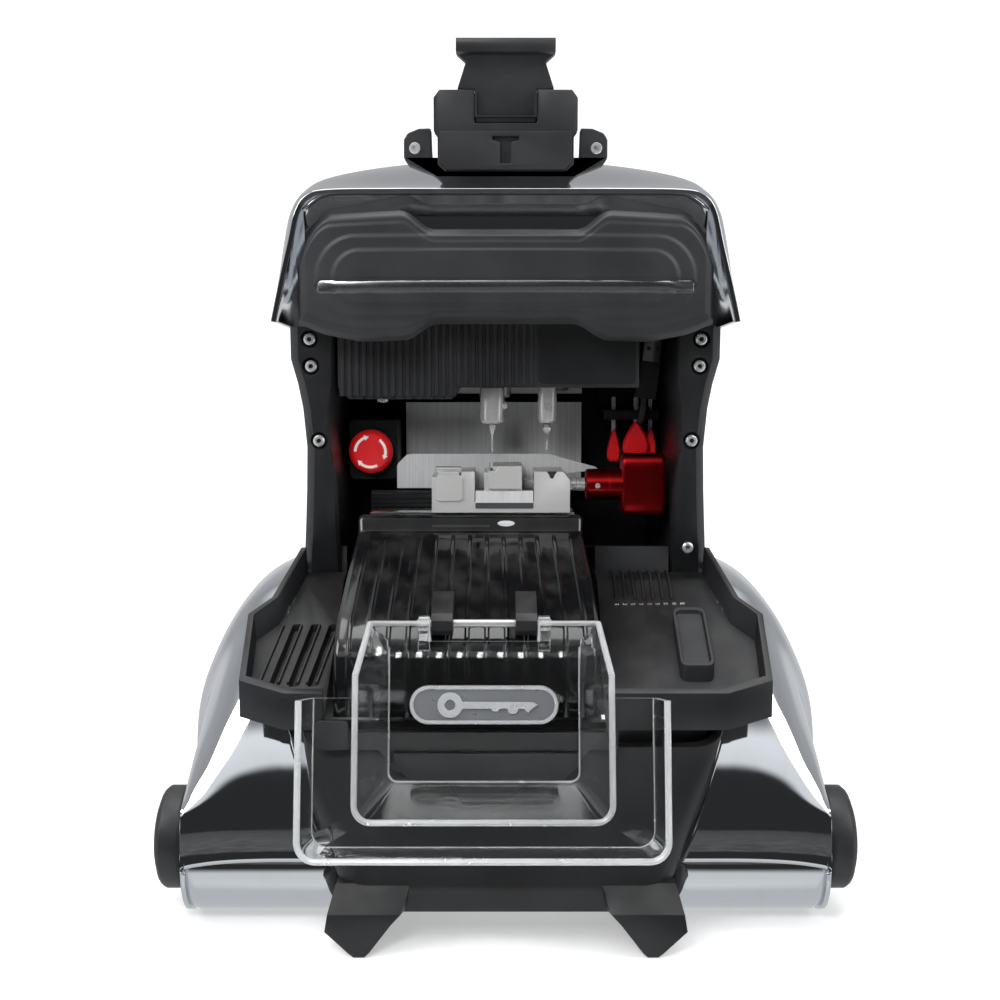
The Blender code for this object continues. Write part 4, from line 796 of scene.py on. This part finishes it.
# ---------------------------------------------------------------- hanging tools
def petal(cx, cy, z0, z1, half, thick):
    """A flat red grip, pointed at the top and round below; its steel shank up into the rack is a piece of its own."""
    def build(bm):
        outline = [(0.12, 1.0), (0.42, 0.82), (0.72, 0.62), (0.94, 0.40), (1.0, 0.22), (0.86, 0.07), (0.55, 0.0)]
        pts = [(cx + half * a, z0 + (z1 - z0) * b) for a, b in outline]
        pts += [(2 * cx - x, z) for x, z in pts[::-1]]
        mid = [(cx + (x - cx) * 0.78, z0 + (z1 - z0) * 0.5 + (z - (z0 + z1) / 2) * 0.86) for x, z in pts]
        loft(bm, [[(x, y, z) for x, z in ring] for ring, y in ((mid, cy - thick), (pts, cy - thick * 0.45), (pts, cy + thick * 0.45), (mid, cy + thick))])
    return build


for k, (cx, cy, z0, z1, half, thick) in enumerate(((68.6, 3, 235, 256, 4.3, 3.6), (82, -2, 238.5, 261, 8.6, 4.6), (91.6, 3, 238, 257, 3.9, 3.6))):
    grip = piece(f"tool_grip_{k + 1}", "red_plastic", "frame", petal(cx, cy, z0, z1, half, thick), bevel=0.9, segments=3, angle=25, slot="red_plastic")
    if k < 2:
        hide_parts(f"hex_tool_{k + 1}")
    piece(f"tool_shank_{k + 1}", "polished_steel", "frame", lambda bm, cx=cx, cy=cy, z1=z1: lathe(bm, [
        (0, z1 - 3), (1.6, z1 - 3), (1.6, 275), (1.2, 276), (0, 276)], "z", cx, cy, 6), bevel=0.2, slot="brushed_steel")

# ---------------------------------------------------------------- USB plug and cable
def tilted(points_box, lean=0.13):
    """A box leaning to the right as it rises."""
    x0, x1, y0, y1, z0, z1 = points_box
    def build(bm):
        rings = []
        for z in (z0, z1):
            dx = (z - 276) * lean
            rings.append([(x + dx, y, z - (x - x0) * lean) for x, y in rounded(x0, x1, y0, y1, 0.9 if x1 - x0 > 3 else 0.4, 3)])
        loft(bm, rings)
    return build


plug = piece("usb_plug_body", "satin_black", "frame", tilted((77.6, 90.0, -36, -28, 277, 299)), bevel=0.5, slot="satin_black")
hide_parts("usb_cable")
piece("usb_plug_shell", "silver_trim", "frame", tilted((78.2, 89.8, -34.2, -29.8, 298, 311)), bevel=0.25, slot="silver_trim")
for k, (dx, z) in enumerate(((2.9, 306), (8.4, 305.6))):
    piece(f"usb_shell_window_{k + 1}", "rubber", "frame", lambda bm, dx=dx, z=z: box(bm, 82.0 + dx, 84.1 + dx, -34.6, -33.9, z - 1.1, z + 1.1), bevel=0.1, slot="satin_black")
usb_line = curve_through([(83.6, -32, 279), (83.2, -31.5, 270), (82.0, -27, 262), (84.5, -14, 264), (90.5, 8, 268), (92.0, 34, 262), (91.5, 54, 252)], 6)


def usb_wire(bm):
    rings = []
    for i, p in enumerate(usb_line):
        ahead = (Vector(usb_line[min(i + 1, len(usb_line) - 1)]) - Vector(usb_line[max(i - 1, 0)])).normalized()
        a = ahead.cross(Vector((1, 0, 0))).normalized()
        b = ahead.cross(a)
        rings.append([Vector(p) + a * 2.1 * math.cos(math.radians(t)) + b * 2.1 * math.sin(math.radians(t)) for t in range(0, 360, 30)])
    loft(bm, rings)


piece("usb_wire", "rubber", "frame", usb_wire, slot="satin_black")

# ---------------------------------------------------------------- head cover ribs
def rib_plate(x0, x1, z0, first, pitch):
    def build(bm):
        outline = [(x0, -81.8), (x0, -82.5)]
        x = first
        while x + 2.6 <= x1:
            outline += [(x, -82.5), (x + 0.35, -83.5), (x + 0.9, -83.8), (x + 1.9, -83.8), (x + 2.4, -83.5), (x + 2.75, -82.5)]
            x += pitch
        outline += [(x1, -82.5), (x1, -81.8)]
        prism(bm, outline, "z", z0, 343)
    return build


piece("head_ribs_left", "soft_black", "head", rib_plate(-93.2, -27.6, 279.4, -92.6, 4.05), slot="satin_black")
piece("head_ribs_right", "soft_black", "head", rib_plate(-27.6, 17.5, 285.0, -27.4, 4.05), slot="satin_black")
piece("head_seam", "satin_black", "head", lambda bm: prism(bm, rounded(18.5, 73.5, 286, 342, 3, 5), "y", -82.7, -81.8), bevel=0.5, slot="satin_black")
piece("head_screw", "polished_steel", "head", lambda bm: lathe(bm, [(0, 275.2), (2.6, 275.4), (3.4, 276.2), (3.4, 278.0), (0, 278.0)], "z", -70, -70, 32), slot="silver_trim")
piece("chuck_screw", "polished_steel", "spindle", lambda bm: lathe(bm, [(0, -0.1), (1.0, -0.1), (1.0, 1.2), (2.0, 1.2), (2.4, 0.8), (2.4, -1.5), (0, -1.5)], "x", -57, 273, 24), slot="silver_trim")
piece("probe_screw", "polished_steel", "head", lambda bm: lathe(bm, [(0, -61.2), (1.0, -61.2), (1.0, -62.6), (2.0, -62.6), (2.4, -62.1), (2.4, -60.2), (0, -60.2)], "y", 24.5, 272, 24), slot="silver_trim")

# ---------------------------------------------------------------- key clamp
piece("guard_plate", "sheet_steel", "y_table", lambda bm: prism(bm, [
    (-64.8, 222.5), (37, 222.5), (37, 231.5), (54.6, 233.2), (55.4, 234.4), (54.2, 235.4), (36, 240.4), (27, 243.2), (-56, 243.2), (-59, 242.6), (-64, 237.6), (-64.8, 236)],
    "y", -37.6, -36.2), bevel=0.25, slot="brushed_steel")
piece("clamp_face_plate", "blasted_alloy", "x_carriage", lambda bm: prism(bm, rounded(-39.6, -24.4, 219.2, 234.2, 2.2, 6), "y", -77.4, -75.8), bevel=0.3, slot="blasted_alloy")
piece("clamp_key_stop", "polished_steel", "x_carriage", lambda bm: lathe(bm, [(0, -39.8), (1.5, -39.8), (1.9, -39.4), (1.9, -25.4), (1.5, -25.0), (0, -25.0)], "x", -74.4, 237.2, 24), slot="brushed_steel")
piece("clamp_key_stop_foot", "blasted_alloy", "x_carriage", lambda bm: box(bm, -38.6, -26.2, -75.6, -60, 233.2, 236.4), bevel=0.4, slot="blasted_alloy")
piece("clamp_channel", "matte_grey", "x_carriage", lambda bm: prism(bm, rounded(-17.1, 16.1, 214.9, 218.2, 0.6, 3), "y", -76.5, -75.9), bevel=0.15, slot="blasted_alloy")
piece("clamp_channel_face", "sheet_steel", "x_carriage", lambda bm: box(bm, -17.0, 16.0, -76.3, -72, 215.6, 225.0), bevel=0.3, slot="blasted_alloy")
piece("clamp_v_notch", "rubber", "x_carriage", lambda bm: prism(bm, [(23.6, 236.2), (29.6, 236.2), (28.2, 234.2), (27.4, 232.2), (25.8, 232.2), (25.0, 234.2)], "y", -76.4, -75.7), bevel=0.1, slot="blasted_alloy")
piece("jaw_step", "blasted_alloy", "jaw", lambda bm: prism(bm, [(-9.6, 226.2), (9.2, 226.2), (9.2, 239.4), (-3.4, 239.4), (-5.6, 236.6), (-9.6, 236.6)], "y", -78.2, -75.2), bevel=0.5, slot="blasted_alloy")
piece("jaw_grip", "polished_steel", "jaw", lambda bm: prism(bm, [(-11.8, 229.5), (-8.4, 229.5), (-8.4, 238.8), (-9.6, 238.8), (-9.6, 236.6), (-10.6, 236.6), (-10.6, 234.2), (-11.8, 234.2)], "y", -75.0, -48), bevel=0.15, slot="blasted_alloy")


def knob_thread(bm):
    profile = [(0, 36.9)]
    for k in range(28):
        profile.append((4.0 if k % 3 else 3.25, 37.1 + 0.36 * k))
    lathe(bm, profile + [(0, 47.3)], "x", -58, 227, 36)


piece("screw_thread", "polished_steel", "knob", knob_thread, slot="brushed_steel")
grip_outline = []
for k in range(96):
    t = 2 * math.pi * k / 96
    c, q = math.cos(t), math.sin(t)
    reach = 1.0 / ((abs(c) / 9.2) ** 4.6 + (abs(q) / 18.2) ** 4.6) ** (1 / 4.6)
    grip_outline.append((-58 + reach * c, 227 + reach * q))
knob_body = piece("knob_grip", "red_anodised", "knob", lambda bm: loft(bm, [
    [(x, -58 + (y + 58) * f, 227 + (z - 227) * f) for y, z in grip_outline] for x, f in ((67.6, 0.86), (68.3, 0.95), (69.6, 1.0), (90.4, 1.0), (91.8, 0.96), (92.6, 0.87))]),
    slot="red_anodised")
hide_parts("clamp_knob")
knob_body.data.set_sharp_from_angle(angle=math.radians(40))
piece("knob_collar", "red_anodised", "knob", lambda bm: lathe(bm, [
    (4.2, 47), (8.0, 47), (8.8, 47.6), (9.1, 48.6), (9.1, 59.8), (8.8, 60.2), (8.8, 60.9), (9.1, 61.3), (9.1, 68.4), (4.2, 68.4)], "x", -58, 227, 72, tube=True), slot="red_anodised")
piece("knob_pin", "polished_steel", "knob", lambda bm: lathe(bm, [(0, -67.4), (1.4, -67.4), (1.6, -67.0), (1.6, -64), (0, -64)], "y", 53.5, 227, 24), slot="brushed_steel")

# ---------------------------------------------------------------- chip tray details
def floor_z(y):
    return 176.0 + min(0.0, (y + 76.0)) * math.tan(math.radians(30.0))


def tray_rib(x):
    def build(bm):
        rings = []
        for y, z in ((-94.5, floor_z(-94.5)), (-76.5, floor_z(-76.5)), (-64, 176.0), (-60.2, 174.2), (-58, 172.4), (6, 172.4)):
            rings.append([(x - 1.0, y, z - 0.8), (x + 1.0, y, z - 0.8), (x + 0.6, y, z + 1.5), (x - 0.6, y, z + 1.5)])
        loft(bm, rings)
    return build


for k in range(7):
    piece(f"tray_rib_{k + 1}", "satin_black", "frame", tray_rib(62.5 + 5.2 * k), bevel=0.25, slot="satin_black")
# Bright silver dashes at the rib ends: painted highlights standing in for glints off the ends of the ribs.
for k in range(9):
    x = 61.0 + 4.6 * k
    piece(f"tray_painted_glint_{k + 1}", "silver_trim", "frame", lambda bm, x=x: loft(bm, [
        [(x, -98.2, floor_z(-98.2) + h), (x + 2.6, -98.2, floor_z(-98.2) + h), (x + 2.6, -96.9, floor_z(-96.9) + h), (x, -96.9, floor_z(-96.9) + h)] for h in (-0.5, 0.5)]),
        bevel=0.15, slot="silver_trim")
for k in range(7):  # ridges between and beside the left pan's chip slots
    x = -97.4 - 5.0 * k
    piece(f"tray_ridge_{k + 1}", "satin_black", "frame", lambda bm, x=x: loft(bm, [
        [(x + dx - 0.9, y, floor_z(y) - 0.6), (x + dx + 0.9, y, floor_z(y) - 0.6), (x + dx + 0.5, y, floor_z(y) + 1.7), (x + dx - 0.5, y, floor_z(y) + 1.7)]
        for dx, y in ((-1.2, -153), (5.6, -114))]), bevel=0.2, slot="satin_black")
piece("tray_slot_liner", "rubber", "frame", lambda bm: loft(bm, [
    [(-133, y, floor_z(y) - 4.6), (-93.6, y, floor_z(y) - 4.6), (-93.6, y, floor_z(y) - 6.2), (-133, y, floor_z(y) - 6.2)] for y in (-158, -108)]), bevel=0.3, slot="satin_black")


def pocket(bm):
    outer, inner = rounded(91.5, 109.5, -151, -111, 4, 5), rounded(93.4, 107.6, -149, -113, 2.6, 5)
    loft(bm, [[(x, y, floor_z(y) + h) for x, y in ring] for ring, h in ((outer, -0.6), (outer, 9.0), (inner, 9.0), (inner, 6.2))])


piece("tray_pocket", "soft_black", "frame", pocket, bevel=0.6, segments=2, slot="satin_black")
piece("tray_tab", "soft_black", "frame", lambda bm: prism(bm, rounded(-96, -79.5, 104.5, 119.5, 2.4, 5), "y", -178.2, -175.8), bevel=0.5, slot="satin_black")

# ---------------------------------------------------------------- apron details
def on_apron(outline, y0, y1):
    return lambda bm: prism(bm, outline, "y", y0, y1)


piece("apron_panel", "soft_black", "frame", on_apron([(-57, 103), (-57, 97), (-47, 87.6), (27, 87.6), (37, 97), (37, 103)], -178.6, -176.2), bevel=0.8, segments=3, slot="satin_black")
piece("apron_notch", "satin_black", "frame", on_apron([(-30, 86.4), (-22, 75.5), (-18, 74), (-2, 74), (2, 75.5), (10, 86.4)], -178.2, -176.0), bevel=0.8, segments=3, slot="satin_black")

# ---------------------------------------------------------------- rear fittings
piece("inlet_frame", "matte_grey", "frame", lambda bm: loft(bm, [[(x, y, z) for x, z in ring] for ring, y in (
    (rounded(53, 77, 177, 195, 2.5, 5), 181.6), (rounded(53, 77, 177, 195, 2.5, 5), 184.4), (rounded(56, 74, 180, 192, 1.6, 5), 184.4), (rounded(56, 74, 180, 192, 1.6, 5), 174))]),
    bevel=0.4, slot="matte_grey")
for k, (x, z) in enumerate(((60, 184), (70, 184), (65, 188.4))):
    piece(f"inlet_pin_{k + 1}", "silver_trim", "frame", lambda bm, x=x, z=z: box(bm, x - 0.9, x + 0.9, 173.5, 181.8, z - 1.9, z + 1.9), bevel=0.35, slot="silver_trim")
piece("tray_under_lip", "satin_black", "frame", lambda bm: loft(bm, [[(x, y, z) for y, z in ring] for x, ring in (
    (-112, [(-146, 92), (-140, 92), (-140, 108), (-148, 108)]), (-104, [(-156, 92), (-142, 92), (-142, 110), (-158, 110)]),
    (104, [(-156, 92), (-142, 92), (-142, 110), (-158, 110)]), (112, [(-146, 92), (-140, 92), (-140, 108), (-148, 108)]))]), bevel=0.4, slot="satin_black")
piece("switch_frame", "matte_grey", "frame", lambda bm: loft(bm, [[(x, y, z) for x, z in ring] for ring, y in (
    (rounded(-82.5, -49.5, 173.5, 198.5, 2, 5), 181.8), (rounded(-82.5, -49.5, 173.5, 198.5, 2, 5), 183.4), (rounded(-79, -53, 177, 195, 1, 5), 183.4), (rounded(-79, -53, 177, 195, 1, 5), 181.8))], loop=True),
    bevel=0.3, slot="matte_grey")

# ---------------------------------------------------------------- stage, light and camera
def stage_mesh(name, material, rows):
    bm = bmesh.new()
    sheet(bm, rows)
    bmesh.ops.scale(bm, verts=bm.verts, vec=(MM, MM, MM))
    mesh = bpy.data.meshes.new(name)
    bm.to_mesh(mesh)
    bm.free()
    mesh.shade_smooth()
    mesh.materials.append(material)
    obj = bpy.data.objects.new(name, mesh)
    bpy.context.scene.collection.objects.link(obj)
    return obj


def paper():
    g = Graph("backdrop_paper")
    g.link(g.mix(g.span(g.noise(3.0, 4.0), 0.3, 0.7, 0.0, 1.0), (0.86, 0.86, 0.86), (0.84, 0.84, 0.84)), g.shader.inputs["Base Color"])
    g.link(g.span(g.noise(20.0, 4.0), 0.3, 0.7, 0.75, 0.9), g.shader.inputs["Roughness"])
    g.bump(g.noise(900.0, 2.0), 0.03, 0.0003)
    g.shader.inputs["Emission Color"].default_value = (1.0, 1.0, 1.0, 1.0)
    g.shader.inputs["Emission Strength"].default_value = 0.36
    return g.mat


sweep = [(-4000, 0), (-2000, 0), (0, 0), (900, 0)]
sweep += [(900 + 700 * math.sin(math.radians(a)), 700 - 700 * math.cos(math.radians(a))) for a in range(10, 91, 10)]
sweep += [(1600, 1100)]
sheet_of_paper = stage_mesh("backdrop", paper(), [[(x, y, z) for y, z in sweep] for x in (-4000, -1500, 0, 1500, 4000)])
sheet_of_paper.visible_glossy = False


def lamp(name, at, target, size, power, colour=(1.0, 1.0, 1.0)):
    data = bpy.data.lights.new(name, "AREA")
    data.shape = "RECTANGLE"
    data.size, data.size_y = size[0] * MM, size[1] * MM
    data.energy = power
    data.color = colour
    obj = bpy.data.objects.new(name, data)
    bpy.context.scene.collection.objects.link(obj)
    obj.location = Vector(at) * MM
    obj.rotation_euler = (Vector(target) * MM - obj.location).to_track_quat("-Z", "Y").to_euler()
    return obj


lamp("key_left", (-1300, -900, 1300), (0, 0, 200), (900, 900), 13)
lamp("fill_right", (1400, -700, 1100), (0, 0, 200), (800, 1000), 9)
lamp("top", (0, -100, 1600), (0, 0, 200), (1300, 900), 10)
work = lamp("work", (-120, -620, 470), (0, -60, 235), (160, 160), 2.1)
work.visible_glossy = False

# The room: pale all round; in front of the machine it is dark round the lens, with a long white panel above that.
bpy.context.scene.view_settings.view_transform = "Standard"
world = bpy.context.scene.world or bpy.data.worlds.new("studio")
bpy.context.scene.world = world
world.use_nodes = True
tree = world.node_tree
coord = tree.nodes.new("ShaderNodeTexCoord")
split = tree.nodes.new("ShaderNodeSeparateXYZ")
tree.links.new(coord.outputs["Generated"], split.inputs[0])


def world_node(kind, **values):
    made = tree.nodes.new(kind)
    for key, value in values.items():
        setattr(made, key, value)
    return made


def elevation_ramp(stops, tint):
    ramp = world_node("ShaderNodeValToRGB")
    ramp.color_ramp.interpolation = "EASE"
    elements = ramp.color_ramp.elements
    while len(elements) < len(stops):
        elements.new(0.5)
    for element, (at, level) in zip(elements, stops):
        element.position = at
        element.color = tuple(level * t for t in tint) + (1.0,)
    tree.links.new(half.outputs[0], ramp.inputs[0])
    return ramp.outputs["Color"]


half = world_node("ShaderNodeMath", operation="MULTIPLY_ADD")
half.inputs[1].default_value = 0.5
half.inputs[2].default_value = 0.5
tree.links.new(split.outputs["Z"], half.inputs[0])
facing = world_node("ShaderNodeMapRange", interpolation_type="SMOOTHSTEP")
for key, number in (("From Min", -0.30), ("From Max", -0.62), ("To Min", 0.0), ("To Max", 1.0)):
    facing.inputs[key].default_value = number
tree.links.new(split.outputs["Y"], facing.inputs["Value"])
around = elevation_ramp([(0.0, 0.62), (0.5, 0.66), (0.62, 0.45), (0.78, 0.38), (0.92, 0.85), (1.0, 1.0)], (0.97, 0.985, 1.0))
ahead = elevation_ramp([(0.0, 0.85), (0.24, 0.75), (0.33, 0.03), (0.70, 0.03), (0.735, 0.9), (0.80, 1.0), (0.83, 0.24), (1.0, 0.36)], (0.965, 0.985, 1.0))
blend = world_node("ShaderNodeMix", data_type="RGBA")
tree.links.new(facing.outputs["Result"], blend.inputs[0])
tree.links.new(around, blend.inputs[6])
tree.links.new(ahead, blend.inputs[7])
seen = world_node("ShaderNodeLightPath")
clear = world_node("ShaderNodeMix", data_type="RGBA")  # the lens itself sees plain pale paper all round
tree.links.new(seen.outputs["Is Camera Ray"], clear.inputs[0])
tree.links.new(blend.outputs[2], clear.inputs[6])
clear.inputs[7].default_value = (1.0, 1.0, 1.0, 1.0)
tree.links.new(clear.outputs[2], tree.nodes["Background"].inputs["Color"])
tree.nodes["Background"].inputs["Strength"].default_value = 1.0

# A black flag on the floor in front: it is only seen in reflections.
flag = stage_mesh("floor_flag", M["rubber"], [[(x, y, 2.0) for y in (-1700, -1000, -300)] for x in (-900, 0, 900)])
flag.visible_camera = False
flag.visible_diffuse = False
flag.visible_shadow = False
flag.visible_transmission = False

camera_data = bpy.data.cameras.new("view")
camera_data.sensor_width = 36.0
camera_data.lens = 46.87
camera_data.clip_start = 0.05
camera = bpy.data.objects.new("view", camera_data)
bpy.context.scene.collection.objects.link(camera)
camera.location = (-0.003, -0.816 + SHIFT.y * MM, 0.305)
camera.rotation_euler = (math.radians(90 - 6.57), 0, 0)
bpy.context.scene.camera = camera
